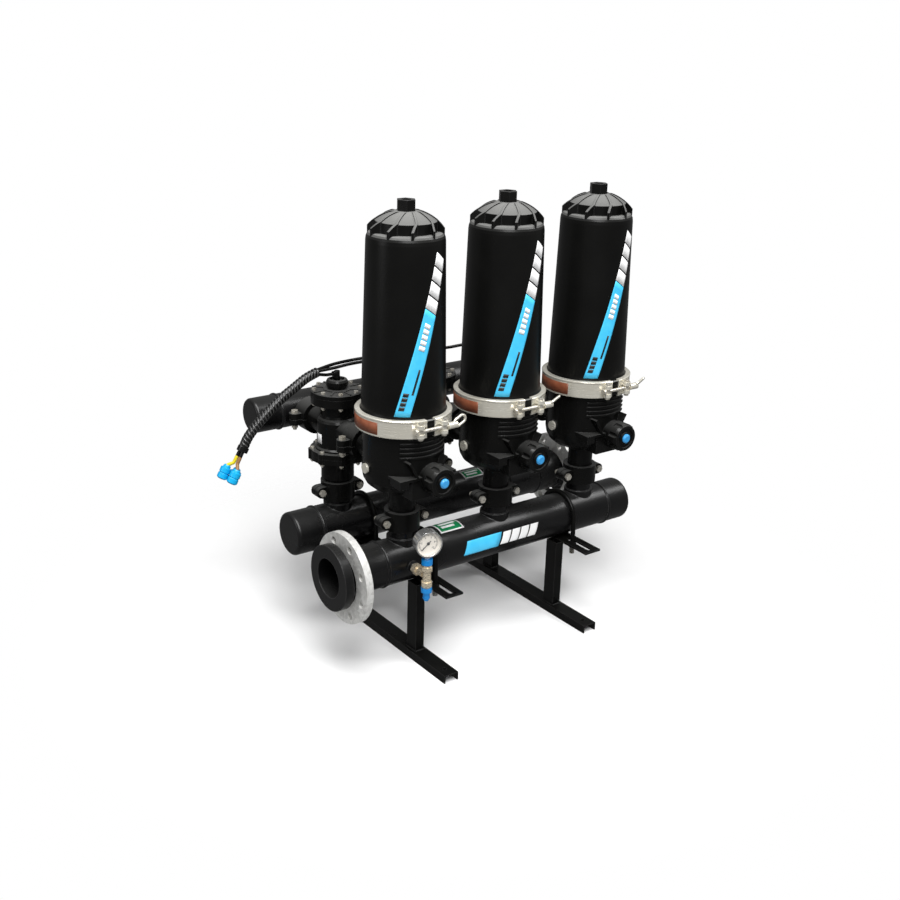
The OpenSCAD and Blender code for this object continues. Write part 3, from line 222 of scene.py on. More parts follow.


# topSheen and sheenTone paint a highlight onto upward-facing faces
lidSet = {
    "gloss": 0.15, "cloud": 7, "grain": 700, "dark": (0.0034, 0.0034, 0.0032), "light": (0.0048, 0.0048, 0.0045),
    "edge": (0.05, 0.05, 0.05), "edgeWearAndSheen": 0.5, "edgeRadius": 0.0016, "rough": (0.30, 0.38), "bump": 0.10,
    "topSheen": 0.6, "sheenTone": (0.30, 0.30, 0.29),
}
finish = {
    "body": mouldedPlastic("bodyBlack", lidSet),
    "cast": mouldedPlastic("baseBlack", {
        **lidSet, "gloss": 0.2, "rough": (0.22, 0.32), "edgeRadius": 0.0012, "topSheen": 0.1}),
    "valve": mouldedPlastic("valveBlack", {
        **lidSet, "gloss": 0.17, "rough": (0.22, 0.32), "edgeRadius": 0.001, "topSheen": 0.22}),
    "pipe": mouldedPlastic("pipeBlack", {
        **lidSet, "gloss": 0.40, "dark": (0.003, 0.003, 0.0031), "light": (0.005, 0.005, 0.0052),
        "rough": (0.22, 0.34), "cloud": 9, "grain": 420, "bump": 0.22, "topSheen": 0.045,
        "edge": (0.13, 0.13, 0.13), "edgeRadius": 0.0024}),
    "tube": mouldedPlastic("tubeBlack", {
        **lidSet, "gloss": 0.35, "rough": (0.2, 0.28), "edgeRadius": 0.0004, "topSheen": 0}),
    "inner": mouldedPlastic("innerBlack", {**lidSet, "rough": (0.5, 0.6), "topSheen": 0}),
    "disc": mouldedPlastic("discRed", {
        **lidSet, "dark": (0.33, 0.03, 0.025), "light": (0.42, 0.05, 0.04), "edge": (0.5, 0.09, 0.07),
        "rough": (0.45, 0.6), "topSheen": 0}),
    "spindle": mouldedPlastic("spindleGrey", {
        **lidSet, "dark": (0.12, 0.12, 0.12), "light": (0.18, 0.18, 0.18), "edge": (0.25, 0.25, 0.25), "topSheen": 0}),
    "rubber": mouldedPlastic("sealRubber", {**lidSet, "gloss": 0.25, "rough": (0.62, 0.74), "topSheen": 0}),
    "paint": mouldedPlastic("framePaint", {
        **lidSet, "gloss": 0.14, "cloud": 26, "grain": 240, "rough": (0.26, 0.38), "bump": 0.14, "topSheen": 0,
        "edge": (0.09, 0.09, 0.088), "edgeRadius": 0.0012}),
    "blue": mouldedPlastic("fittingBlue", {
        **lidSet, "gloss": 0.5, "dark": (0.0, 0.33, 0.68), "light": (0.005, 0.43, 0.80), "edge": (0.12, 0.56, 0.88),
        "edgeRadius": 0.0007, "rough": (0.28, 0.36), "topSheen": 0}),
    "ringBlue": mouldedPlastic("ringBlue", {
        **lidSet, "gloss": 0.5, "dark": (0.0, 0.17, 0.52), "light": (0.004, 0.25, 0.66), "edge": (0.1, 0.42, 0.8),
        "edgeRadius": 0.0007, "rough": (0.28, 0.36), "topSheen": 0}),
    "plugBlue": mouldedPlastic("plugBlue", {
        **lidSet, "gloss": 0.5, "dark": (0.03, 0.27, 0.62), "light": (0.05, 0.36, 0.76), "edge": (0.25, 0.6, 0.9),
        "edgeRadius": 0.0008, "rough": (0.25, 0.33), "topSheen": 0}),
    "steel": bareMetal("bandSteel", {
        "metal": 0.6, "scale": 60, "stretch": (0.4, 0.4, 14), "dark": (0.80, 0.77, 0.67),
        "light": (0.97, 0.95, 0.86), "stain": 0.25, "stainTone": (0.70, 0.62, 0.48), "rough": (0.16, 0.30),
        "bump": 0.12, "edgeRadius": 0.0007}),
    "zinc": bareMetal("boltZinc", {
        "metal": 0.7, "scale": 160, "stretch": (1, 1, 1), "dark": (0.60, 0.57, 0.50),
        "light": (0.84, 0.82, 0.76), "stain": 0.35, "stainTone": (0.56, 0.48, 0.33), "rough": (0.22, 0.38),
        "bump": 0.2, "edgeRadius": 0.0006}),
    "brass": bareMetal("fittingBrass", {
        "metal": 0.7, "scale": 190, "stretch": (1, 1, 2.5), "dark": (0.80, 0.68, 0.48),
        "light": (0.96, 0.88, 0.72), "stain": 0.2, "stainTone": (0.60, 0.42, 0.22), "rough": (0.22, 0.36),
        "bump": 0.16, "edgeRadius": 0.0006}),
    "chrome": bareMetal("caseChrome", {
        "metal": 0.9, "scale": 40, "stretch": (1, 1, 1), "dark": (0.80, 0.80, 0.79),
        "light": (0.90, 0.90, 0.89), "stain": 0.1, "stainTone": (0.7, 0.66, 0.6), "rough": (0.08, 0.16),
        "bump": 0.03, "edgeRadius": 0.0008}),
    "galvanised": zincSpangle("ringZinc", {
        "metal": 0.35, "cells": 130, "dark": (0.58, 0.58, 0.56), "light": (0.84, 0.84, 0.82),
        "dull": (0.78, 0.77, 0.73), "rough": (0.34, 0.52), "edgeRadius": 0.001}),
    "dial": printedFilm("dialCream", (0.96, 0.90, 0.81), (0.92, 0.86, 0.77)),
    "ink": printedFilm("dialInk", (0.012, 0.012, 0.012), (0.02, 0.02, 0.02)),
    "filmBlue": printedFilm("filmBlue", (0.055, 0.54, 0.90), (0.08, 0.60, 0.94)),
    "filmWhite": printedFilm("filmWhite", (0.94, 0.94, 0.94), (0.89, 0.89, 0.89)),
    "filmGreen": printedFilm("filmGreen", (0.004, 0.20, 0.065), (0.008, 0.24, 0.085)),
    "filmRust": printedFilm("filmRust", (0.16, 0.045, 0.022), (0.26, 0.085, 0.04)),
    "tubeYellow": printedFilm("tubeYellow", (0.68, 0.56, 0.01), (0.75, 0.62, 0.03)),
    "tubeTan": printedFilm("tubeTan", (0.26, 0.13, 0.05), (0.32, 0.17, 0.07)),
    # the pale gap colour is a painted highlight between the ribbons
    "wrap": wrapPlastic("wrapBlack", {
        "gloss": 0.5, "rough": 0.25, "gap": (0.11, 0.11, 0.107), "tone": (0.004, 0.004, 0.004)}),
    "glass": newMaterial("gaugeClear", **{
        "Base Color": (0.95, 0.97, 0.97, 1), "Roughness": 0.03, "Alpha": 0.05})[0],
}

nodeFinish = {
    "pipe": ["outlet_manifold", "inlet_manifold", "drain_manifold", "manifold_caps", "stub_flanges"],
    "galvanised": ["backing_rings"],
    "body": ["filter_lids"],
    "cast": ["filter_bases", "lid_plugs", "port_cap_1", "port_cap_2", "port_cap_3"],
    "valve": ["valve_bottoms", "valve_bodies", "valve_covers", "valve_rings", "outlet_couplings", "inlet_couplings",
              "filter_couplings", "drain_couplings"],
    "inner": ["disc_spines", "disc_piston_1", "disc_piston_2", "disc_piston_3"],
    "disc": ["disc_stack_1", "disc_stack_2", "disc_stack_3"],
    "rubber": ["lid_seals", "valve_diaphragms", "coupling_gaskets"],
    "steel": ["clamp_bands", "clamp_nut_1", "clamp_nut_2", "clamp_nut_3", "side_plugs"],
    "zinc": ["clamp_bolts", "valve_bolts", "coupling_bolts"],
    "spindle": ["valve_spindle_1", "valve_spindle_2", "valve_spindle_3"],
    "plugBlue": ["cap_plug_1", "cap_plug_2", "cap_plug_3"],
    "blue": ["hose_connectors"],
    "ringBlue": ["gauge_fittings"],
    "paint": ["feet", "posts", "crossbars", "u_bolts"],
    "chrome": ["gauge_case"],
    "dial": ["gauge_dial"],
    "ink": ["gauge_needle"],
    "glass": ["gauge_glass"],
    "brass": ["gauge_nipple", "gauge_tee"],
    "tube": ["control_bundle", "command_tubes", "hose_tie", "tube_elbows"],
}
for look, names in nodeFinish.items():
    for name in names:
        slots = nodes[name].data.materials
        slots.clear()
        slots.append(finish[look])
print("finishes set on", sum(len(v) for v in nodeFinish.values()), "nodes")


# Helpers for new pieces
def newPiece(name, mesh, *looks):
    obj = bpy.data.objects.new(name, mesh)
    for look in looks:
        mesh.materials.append(finish[look])
    bpy.context.collection.objects.link(obj)
    return obj


def fromBmesh(name, bm, *looks):
    mesh = bpy.data.meshes.new(name)
    bmesh.ops.recalc_face_normals(bm, faces=bm.faces[:])
    bm.to_mesh(mesh)
    bm.free()
    return newPiece(name, mesh, *looks)


def fromLine(name, points, *looks):
    # a bare polyline for a node tree to follow
    mesh = bpy.data.meshes.new(name)
    mesh.from_pydata(points, [(k, k + 1) for k in range(len(points) - 1)], [])
    return newPiece(name, mesh, *looks)


def curvedSlab(bm, surface, across, along, slot, low, high):
    # closed thin plate over surface(u, v, lift), both u and v from 0 to 1
    layers = []
    for lift in (low, high):
        layers.append([[bm.verts.new(surface(i / across, j / along, lift)) for j in range(along + 1)]
                       for i in range(across + 1)])
    faces = []
    for layer in layers:
        for i in range(across):
            for j in range(along):
                faces.append((layer[i][j], layer[i + 1][j], layer[i + 1][j + 1], layer[i][j + 1]))
    under, over = layers
    for i in range(across):
        for j in (0, along):
            faces.append((under[i][j], under[i + 1][j], over[i + 1][j], over[i][j]))
    for j in range(along):
        for i in (0, across):
            faces.append((under[i][j], under[i][j + 1], over[i][j + 1], over[i][j]))
    for k, corners in enumerate(faces):
        face = bm.faces.new(corners)
        face.material_index = slot
        face.smooth = k < 2 * across * along  # the rims stay flat


def newTree(name, inputs):
    tree = bpy.data.node_groups.new(name, "GeometryNodeTree")
    tree.interface.new_socket("Geometry", in_out="INPUT", socket_type="NodeSocketGeometry")
    for label, kind in inputs:
        tree.interface.new_socket(label, in_out="INPUT", socket_type="NodeSocket" + kind)
    tree.interface.new_socket("Geometry", in_out="OUTPUT", socket_type="NodeSocketGeometry")
    return tree, addNode(tree, "NodeGroupInput"), addNode(tree, "NodeGroupOutput")


def endTree(tree, given, leaving, geometry):
    # every tree closes the same way: real mesh, smooth, one finish
    real = addNode(tree, "GeometryNodeRealizeInstances")
    smooth = addNode(tree, "GeometryNodeSetShadeSmooth")
    paint = addNode(tree, "GeometryNodeSetMaterial")
    tree.links.new(geometry, real.inputs[0])
    tree.links.new(real.outputs[0], smooth.inputs[0])
    tree.links.new(smooth.outputs[0], paint.inputs[0])
    tree.links.new(given.outputs["Finish"], paint.inputs["Material"])
    tree.links.new(paint.outputs[0], leaving.inputs[0])


def runTree(obj, tree, values):
    modifier = obj.modifiers.new(tree.name, "NODES")
    modifier.node_group = tree
    for item in tree.interface.items_tree:
        if item.in_out == "INPUT" and item.name in values:
            modifier[item.identifier] = values[item.name]
    made = bpy.data.meshes.new_from_object(obj.evaluated_get(bpy.context.evaluated_depsgraph_get()))
    obj.modifiers.remove(modifier)
    obj.data = made
    return obj


# Control tubes: the same routes as the CAD solids
bundleSet = {
    "start": (-0.345, 0.104, 0.649), "diameter": 0.021, "tie": 6, "steps": 8,
    "wrap": {"sink": 0.0003, "ridge": 0.0018, "pitch": 0.0088, "starts": 3, "step": 0.0007},
    "tubeR": 0.004, "tipR": 0.00412, "sides": 12, "apart": 0.005, "splay": 0.001, "firstAngle": 30, "overlap": 5,
    "route": ((0, 0.0115), (-0.030, 0.001), (-0.065, -0.019), (-0.098, -0.039), (-0.147, -0.077), (-0.185, -0.115),
              (-0.203, -0.146), (-0.220, -0.176)),
    "fan": ((0.0065, -0.0035), (0.011, -0.008), (0.0155, -0.0125), (0.0166, -0.0146)),
    "tips": ("tubeTan", "tubeYellow", "tubeTan"),
}
tubeSet = {
    "diameter": 0.008, "sides": 12, "steps": 8, "mouth": 0.0124, "rise": 0.018, "stack": 0.009,
    "stub": (0.030, 0.0006), "stubEnd": (0.0044, 0.005), "leave": (0.040, 0.002), "climb": 0.090, "level": 0.180,
    "near": 0.040, "meet": 0.010, "sag": 0.002, "part": 0.8, "join": (0.0008, 0.015),
}


def smoothRoute(points, steps):
    points = [Vector(p) for p in points]
    out = []
    for k in range(len(points) - 1):
        p0, p1, p2, p3 = (points[min(max(j, 0), len(points) - 1)] for j in (k - 1, k, k + 1, k + 2))
        for s in range(steps):
            t = s / steps
            out.append(0.5 * (2 * p1 + (p2 - p0) * t + (2 * p0 - 5 * p1 + 4 * p2 - p3) * t * t
                              + (3 * p1 - p0 - 3 * p2 + p3) * t ** 3))
    return out + [points[-1]]


def wrapTree():
    tree, given, leaving = newTree("spiralWrap", (
        ("Radius", "Float"), ("Ridge", "Float"), ("Pitch", "Float"), ("Starts", "Float"), ("Step", "Float"),
        ("Finish", "Material")))
    link = tree.links.new
    line = addNode(tree, "GeometryNodeMeshToCurve")
    even = addNode(tree, "GeometryNodeResampleCurve", mode="LENGTH")
    along = addNode(tree, "GeometryNodeStoreNamedAttribute", data_type="FLOAT", domain="POINT", Name="along")
    ring = addNode(tree, "GeometryNodeCurvePrimitiveCircle", Resolution=36)
    around = addNode(tree, "GeometryNodeStoreNamedAttribute", data_type="FLOAT", domain="POINT", Name="around")
    spot = addNode(tree, "GeometryNodeSplineParameter")
    skin = addNode(tree, "GeometryNodeCurveToMesh")
    skin.inputs["Fill Caps"].default_value = True
    link(given.outputs["Geometry"], line.inputs[0])
    link(line.outputs[0], even.inputs["Curve"])
    link(given.outputs["Step"], even.inputs["Length"])
    link(even.outputs[0], along.inputs["Geometry"])
    link(spot.outputs["Length"], along.inputs["Value"])
    link(given.outputs["Radius"], ring.inputs["Radius"])
    link(ring.outputs[0], around.inputs["Geometry"])
    link(spot.outputs["Factor"], around.inputs["Value"])
    link(along.outputs[0], skin.inputs["Curve"])
    link(around.outputs[0], skin.inputs["Profile Curve"])
    onLine = addNode(tree, "GeometryNodeInputNamedAttribute", data_type="FLOAT", Name="along")
    onRing = addNode(tree, "GeometryNodeInputNamedAttribute", data_type="FLOAT", Name="around")
    wind = mathNode(tree, "MULTIPLY", onRing.outputs[0], given.outputs["Starts"])
    turn = mathNode(tree, "ADD", mathNode(tree, "DIVIDE", onLine.outputs[0], given.outputs["Pitch"]), wind)
    middle = mathNode(tree, "ABSOLUTE", mathNode(tree, "SUBTRACT", mathNode(tree, "FRACT", turn), 0.5))
    ribbon = addNode(tree, "ShaderNodeMapRange", interpolation_type="SMOOTHSTEP")
    # a ribbon's flank, in parts of a pitch from its middle
    for key, number in (("From Min", 0.33), ("From Max", 0.47), ("To Min", 1), ("To Max", 0)):
        ribbon.inputs[key].default_value = number
    link(middle, ribbon.inputs["Value"])
    keep = addNode(tree, "GeometryNodeStoreNamedAttribute", data_type="FLOAT", domain="POINT", Name="ribbon")
    link(skin.outputs[0], keep.inputs["Geometry"])
    link(ribbon.outputs["Result"], keep.inputs["Value"])
    height = mathNode(tree, "MULTIPLY", ribbon.outputs["Result"], given.outputs["Ridge"])
    outward = addNode(tree, "GeometryNodeInputNormal")
    push = addNode(tree, "ShaderNodeVectorMath", operation="SCALE")
    link(outward.outputs[0], push.inputs[0])
    link(height, push.inputs["Scale"])
    move = addNode(tree, "GeometryNodeSetPosition")
    link(keep.outputs[0], move.inputs["Geometry"])
    link(push.outputs[0], move.inputs["Offset"])
    endTree(tree, given, leaving, move.outputs[0])
    return tree


def tubeTree():
    tree, given, leaving = newTree("plainTube", (("Radius", "Float"), ("Sides", "Int"), ("Finish", "Material")))
    link = tree.links.new
    line = addNode(tree, "GeometryNodeMeshToCurve")
    ring = addNode(tree, "GeometryNodeCurvePrimitiveCircle")
    skin = addNode(tree, "GeometryNodeCurveToMesh")
    skin.inputs["Fill Caps"].default_value = True
    link(given.outputs["Geometry"], line.inputs[0])
    link(given.outputs["Radius"], ring.inputs["Radius"])
    link(given.outputs["Sides"], ring.inputs["Resolution"])
    link(line.outputs[0], skin.inputs["Curve"])
    link(ring.outputs[0], skin.inputs["Profile Curve"])
    endTree(tree, given, leaving, skin.outputs[0])
    return tree


wrapping, tubing = wrapTree(), tubeTree()


def joinPieces(name, pieces):
    bm = bmesh.new()
    looks = []
    for obj in pieces:
        shift = len(looks)
        looks += list(obj.data.materials)
        start = len(bm.faces)
        bm.from_mesh(obj.data)
        bm.faces.ensure_lookup_table()
        for face in bm.faces[start:]:
            face.material_index += shift
        bpy.data.objects.remove(obj)
    mesh = bpy.data.meshes.new(name)
    bm.to_mesh(mesh)
    bm.free()
    whole = bpy.data.objects.new(name, mesh)
    for look in looks:
        mesh.materials.append(look)
    bpy.context.collection.objects.link(whole)
    return whole


def makeBundle(s):
    x, y, z = s["start"]
    path = smoothRoute([(x + dx, y, z + dz) for dx, dz in s["route"]], s["steps"])
    cut = s["tie"] * s["steps"]  # the wrap ends at the tie
    wrap = s["wrap"]
    parts, tips = [], []
    parts.append(runTree(fromLine("wrapLine", path[:cut + 1]), wrapping, {
        "Radius": s["diameter"] / 2 - wrap["sink"], "Ridge": wrap["ridge"], "Pitch": wrap["pitch"],
        "Starts": wrap["starts"], "Step": wrap["step"], "Finish": finish["wrap"]}))
    tail = path[cut - 1:]
    ahead = (tail[-1] - tail[-2]).normalized()
    back = Vector((0, 1, 0))
    side = back.cross(-ahead).normalized()
    for k, tone in enumerate(s["tips"]):
        angle = math.radians(s["firstAngle"] + 360 * k / len(s["tips"]))
        out = side * math.cos(angle) + back * math.sin(angle)
        line = [p + out * (s["apart"] + s["splay"] * j / (len(tail) - 1)) for j, p in enumerate(tail)]
        tip = line[-s["overlap"]:] + [tail[-1] + out * r - ahead * drop for r, drop in s["fan"]]
        for made, stretch, radius, look in ((parts, line, s["tubeR"], "tube"), (tips, tip, s["tipR"], tone)):
            made.append(runTree(fromLine("end", stretch), tubing, {
                "Radius": radius, "Sides": s["sides"], "Finish": finish[look]}))
    ends = joinPieces("tubeEnds", tips)  # bare tube ends that spread to the connectors
    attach(ends, base)
    bundle = joinPieces("wrappedBundle", parts)
    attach(bundle, base)
    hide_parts("control_bundle")


def makeTubes(s):
    endX, y, z = bundleSet["start"]
    low = z + s["rise"]
    first, second, third = layout["valveX"]
    routes = [[(first - s["mouth"], y, z), (first - s["stub"][0], y, z + s["stub"][1]),
               (endX + s["stubEnd"][0], y, z + s["stubEnd"][1])]]
    for k, x in ((1, second), (2, third)):
        side, level = s["stack"] * (k - 1.5), low + s["stack"] * (k - 1)
        route = [(x - s["mouth"], y, z), (x - s["leave"][0], y, z + s["leave"][1]),
                 (x - s["climb"], y, low), (x - s["level"], y, low)]
        if k == 2:  # the third valve's tube climbs over the second's
            route += [(second + s["near"], y, low), (second - s["climb"], y, level), (second - s["level"], y, level)]
        routes.append(route + [
            (first + s["near"], y, level), (first - s["meet"], y + s["part"] * side, level - s["sag"] * k),
            (endX + s["join"][0], y + side, z + s["join"][1])])
    for k, route in enumerate(routes):
        path = smoothRoute(route, s["steps"])
        tube = runTree(fromLine("commandTube%d" % (k + 1), path), tubing, {
            "Radius": s["diameter"] / 2, "Sides": s["sides"], "Finish": finish["tube"]})
        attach(tube, base)
        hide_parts("command_tubes")


makeBundle(bundleSet)
makeTubes(tubeSet)
print("control tubes laid")

# Slanting stripe on each lid: a blue field and plain white blocks above it
stripeSet = {
    "foot": 0.6425, "blueTop": 0.874, "whiteTop": 0.994, "slant": 0.010, "angle": 234.0, "turn": 172.0,
    "half": 10.6, "across": 10, "cell": 0.012, "fill": 0.8,
    "marks": ((0.64, 0.90, 0.26, 0.70, 5, 1), (0.06, 0.24, 0.14, 0.50, 4, 2), (0.22, 0.47, 0.66, 0.80, 1, 2)),
    "blocks": 4, "gap": 0.0035, "lidFoot": (0.6415, 0.097), "lidTop": (1.017, 0.088), "film": 0.0005,
}


def makeStripes(s):
    (z0, r0), (z1, r1) = s["lidFoot"], s["lidTop"]
    bm = bmesh.new()

    def patch(cx, low, high, slantLow, slantHigh, slot, left=0.0, right=1.0, rise=filmSeat):
        def surface(u, v, lift):
            u = left + (right - left) * u
            z = low + (high - low) * v + (slantLow * (1 - v) + slantHigh * v) * (0.5 - u) * 2
            angle = math.radians(s["angle"] + s["turn"] * (z - s["foot"]) + s["half"] * (2 * u - 1))
            r = r0 + (r1 - r0) * (z - z0) / (z1 - z0) + lift
            return (cx + r * math.cos(angle), layout["outletY"] + r * math.sin(angle), z)
        along = max(2, int((high - low) / s["cell"]))
        curvedSlab(bm, surface, s["across"], along, slot, rise, rise + s["film"])

    step = (s["whiteTop"] - s["blueTop"]) / s["blocks"]
    for cx in layout["filterX"]:
        patch(cx, s["foot"], s["blueTop"], 0, s["slant"], 0)
        for low, high, left, right, count, slot in s["marks"]:
            for k in range(count):
                ends = [low + (high - low) * (k + part) / count for part in (0, s["fill"] if count > 1 else 1)]
                heights = [s["foot"] + (s["blueTop"] - s["foot"]) * end for end in ends]
                patch(cx, *heights, *[s["slant"] * end for end in ends], slot, left, right, s["film"])
        for k in range(s["blocks"]):
            low = s["blueTop"] + step * k
            patch(cx, low + s["gap"] / 2, low + step - s["gap"] / 2, s["slant"], s["slant"], 1)
    stripes = fromBmesh("lidStripes", bm, "filmBlue", "filmWhite", "ink")
    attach(stripes, base)


makeStripes(stripeSet)

# Plain labels on the manifolds
labelSet = {
    "front": {"x": (-0.118, -0.012), "angle": (-13, 24), "look": 0},
    "frontWhite": {"x": (-0.006, 0.110), "blocks": 4, "gap": 0.004, "angle": (-10, 22), "look": 1},
    "green": {"x": (-0.173, -0.104), "angle": (62, 112), "look": 2, "border": 0.004},
    "inletGreen": {"x": (0.092, 0.156), "angle": (56, 90), "look": 2, "border": 0.004},
    "bars": ((0.16, 0.72, 0.28, 0.44), (0.16, 0.84, 0.56, 0.72)),
    "valve": {"r": 0.0511, "angle": (168, 190), "z": (0.478, 0.502)},
    "film": 0.0005, "slant": 0.012,
}


def makeLabels(s):
    bm = bmesh.new()
    r, z = layout["manifoldR"], layout["manifoldZ"]

    def patch(y, ends, angles, slot, low, high, slant=0.0):
        def surface(u, v, lift):
            angle = math.radians(angles[0] + (angles[1] - angles[0]) * v)
            x = ends[0] + (ends[1] - ends[0]) * u + slant * (v - 0.5)
            return (x, y - (r + lift) * math.cos(angle), z + (r + lift) * math.sin(angle))
        curvedSlab(bm, surface, across=6, along=10, slot=slot, low=low, high=high)

    film, front, white = s["film"], s["front"], s["frontWhite"]
    patch(layout["outletY"], front["x"], front["angle"], front["look"], filmSeat, film, s["slant"])
    step = (white["x"][1] - white["x"][0]) / white["blocks"]
    for k in range(white["blocks"]):
        start = white["x"][0] + step * k
        patch(layout["outletY"], (start, start + step - white["gap"]), white["angle"], white["look"],
              filmSeat, film, s["slant"])
    for name, y in (("green", layout["outletY"]), ("inletGreen", layout["inletY"])):
        one = s[name]
        lean = math.degrees(one["border"] / r)
        patch(y, one["x"], one["angle"], white["look"], filmSeat, film)
        patch(y, (one["x"][0] + one["border"], one["x"][1] - one["border"]),
              (one["angle"][0] + lean, one["angle"][1] - lean), one["look"], film, 2 * film)
        width, turn = one["x"][1] - one["x"][0], one["angle"][1] - one["angle"][0]
        for left, right, low, high in s["bars"]:
            patch(y, (one["x"][0] + left * width, one["x"][0] + right * width),
                  (one["angle"][0] + low * turn, one["angle"][0] + high * turn), white["look"], 2 * film, 3 * film)
    plate = s["valve"]

    def onValve(u, v, lift):
        angle = math.radians(plate["angle"][0] + (plate["angle"][1] - plate["angle"][0]) * u)
        return (layout["valveX"][0] + (plate["r"] + lift) * math.cos(angle),
                layout["inletY"] + (plate["r"] + lift) * math.sin(angle),
                plate["z"][0] + (plate["z"][1] - plate["z"][0]) * v)
    curvedSlab(bm, onValve, across=6, along=2, slot=white["look"], low=0, high=film)
    labels = fromBmesh("manifoldLabels", bm, "filmBlue", "filmWhite", "filmGreen")
    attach(labels, base)


makeLabels(labelSet)

# Plain brown-red field printed on each clamp band
fieldSet = {"radius": 0.111, "low": -0.0155, "high": 0.0125, "from": 146.0, "to": 205.0, "film": 0.0004}


def makeFields(s):
    bm = bmesh.new()
    for cx in layout["filterX"]:
        def surface(u, v, lift):
            angle = math.radians(s["from"] + (s["to"] - s["from"]) * u)
            r = s["radius"] + lift
            return (cx + r * math.cos(angle), layout["outletY"] + r * math.sin(angle),
                    layout["jointZ"] + s["low"] + (s["high"] - s["low"]) * v)
        curvedSlab(bm, surface, across=24, along=2, slot=0, low=filmSeat, high=s["film"])
    fields = fromBmesh("bandFields", bm, "filmRust")
    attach(fields, base)


makeFields(fieldSet)
print("stripes, labels and fields made")

# Gauge dial: scale marks and numbers
dialSet = {
    "centre": (-0.275, -0.270, 0.338), "turn": (90, 0, -15), "face": 0.0045, "first": 225, "sweep": 270,
    "radius": 0.0235, "marks": 51, "every": 5, "mark": (0.0030, 0.0005), "long": (0.0048, 0.0009), "ink": 0.00025,
    "numbers": (0, 2, 4, 6, 8, 10), "numberR": 0.0160, "numberSize": 0.0058,
}


def markTree():
    tree, given, leaving = newTree("dialMarks", (
        ("Count", "Int"), ("Radius", "Float"), ("Start", "Float"), ("Sweep", "Float"), ("Size", "Vector"),
        ("Place", "Vector"), ("Turn", "Rotation"), ("Finish", "Material")))
    link = tree.links.new
    arc = addNode(tree, "GeometryNodeCurveArc")
    spots = addNode(tree, "GeometryNodeCurveToPoints", mode="EVALUATED")
    bar = addNode(tree, "GeometryNodeMeshCube")
    copy = addNode(tree, "GeometryNodeInstanceOnPoints")
    place = addNode(tree, "GeometryNodeTransform")
    for name, socket in (
            ("Count", "Resolution"), ("Radius", "Radius"), ("Start", "Start Angle"), ("Sweep", "Sweep Angle")):
        link(given.outputs[name], arc.inputs[socket])
    link(given.outputs["Size"], bar.inputs["Size"])
    link(arc.outputs[0], spots.inputs["Curve"])
    link(spots.outputs["Points"], copy.inputs["Points"])
    link(spots.outputs["Rotation"], copy.inputs["Rotation"])
    link(bar.outputs[0], copy.inputs["Instance"])
    link(copy.outputs[0], place.inputs["Geometry"])
    link(given.outputs["Place"], place.inputs["Translation"])
    link(given.outputs["Turn"], place.inputs["Rotation"])
    endTree(tree, given, leaving, place.outputs[0])
    return tree


def makeDial(s):
    turn = [math.radians(a) for a in s["turn"]]
    matrix = Matrix.Translation(s["centre"]) @ Matrix.Rotation(turn[2], 4, "Z") @ Matrix.Rotation(turn[0], 4, "X")
    inkZ = s["face"] + s["ink"] / 2 + filmSeat
    place = matrix @ Vector((0, 0, inkZ))
    tree = markTree()
    parts = []
    longMarks = (s["marks"] - 1) // s["every"] + 1
    for count, (length, width) in ((s["marks"], s["mark"]), (longMarks, s["long"])):
        parts.append(runTree(newPiece("marks", bpy.data.meshes.new("marks")), tree, {
            "Count": count, "Radius": s["radius"] - length / 2, "Start": math.radians(s["first"]),
            "Sweep": -math.radians(s["sweep"]), "Size": (length, s["ink"], width), "Place": place, "Turn": turn,
            "Finish": finish["ink"]}))
    for k, number in enumerate(s["numbers"]):
        words = bpy.data.curves.new("number", "FONT")
        words.body, words.size, words.extrude = str(number), s["numberSize"], s["ink"] / 2
        words.align_x, words.align_y = "CENTER", "CENTER"
        obj = newPiece("number", words)
        mesh = bpy.data.meshes.new_from_object(obj.evaluated_get(bpy.context.evaluated_depsgraph_get()))
        bpy.data.objects.remove(obj)
        angle = math.radians(s["first"] - s["sweep"] * k / (len(s["numbers"]) - 1))
        mesh.transform(matrix @ Matrix.Translation((
            s["numberR"] * math.cos(angle), s["numberR"] * math.sin(angle), inkZ)))
        mesh.materials.clear()
        parts.append(newPiece("number", mesh, "ink"))
    dial = joinPieces("dialScale", parts)
    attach(dial, base)


makeDial(dialSet)
print("dial drawn")

# Threads on the clamp bolts and the U-bolt ends
threadSet = {
    "clamp": {"r": 0.0041, "length": 0.050, "pitch": 0.0016, "depth": 0.0005, "look": "zinc", "slot": "zinc"},
    "uBolt": {"r": 0.0061, "length": 0.018, "pitch": 0.002, "depth": 0.0006, "look": "zinc", "slot": "zinc"},
    "clampSpot": (-0.024, -0.1165), "barX": (-0.213, 0.225), "legs": (-0.219, -0.097, 0.043, 0.165), "legEnd": 0.1645,
}


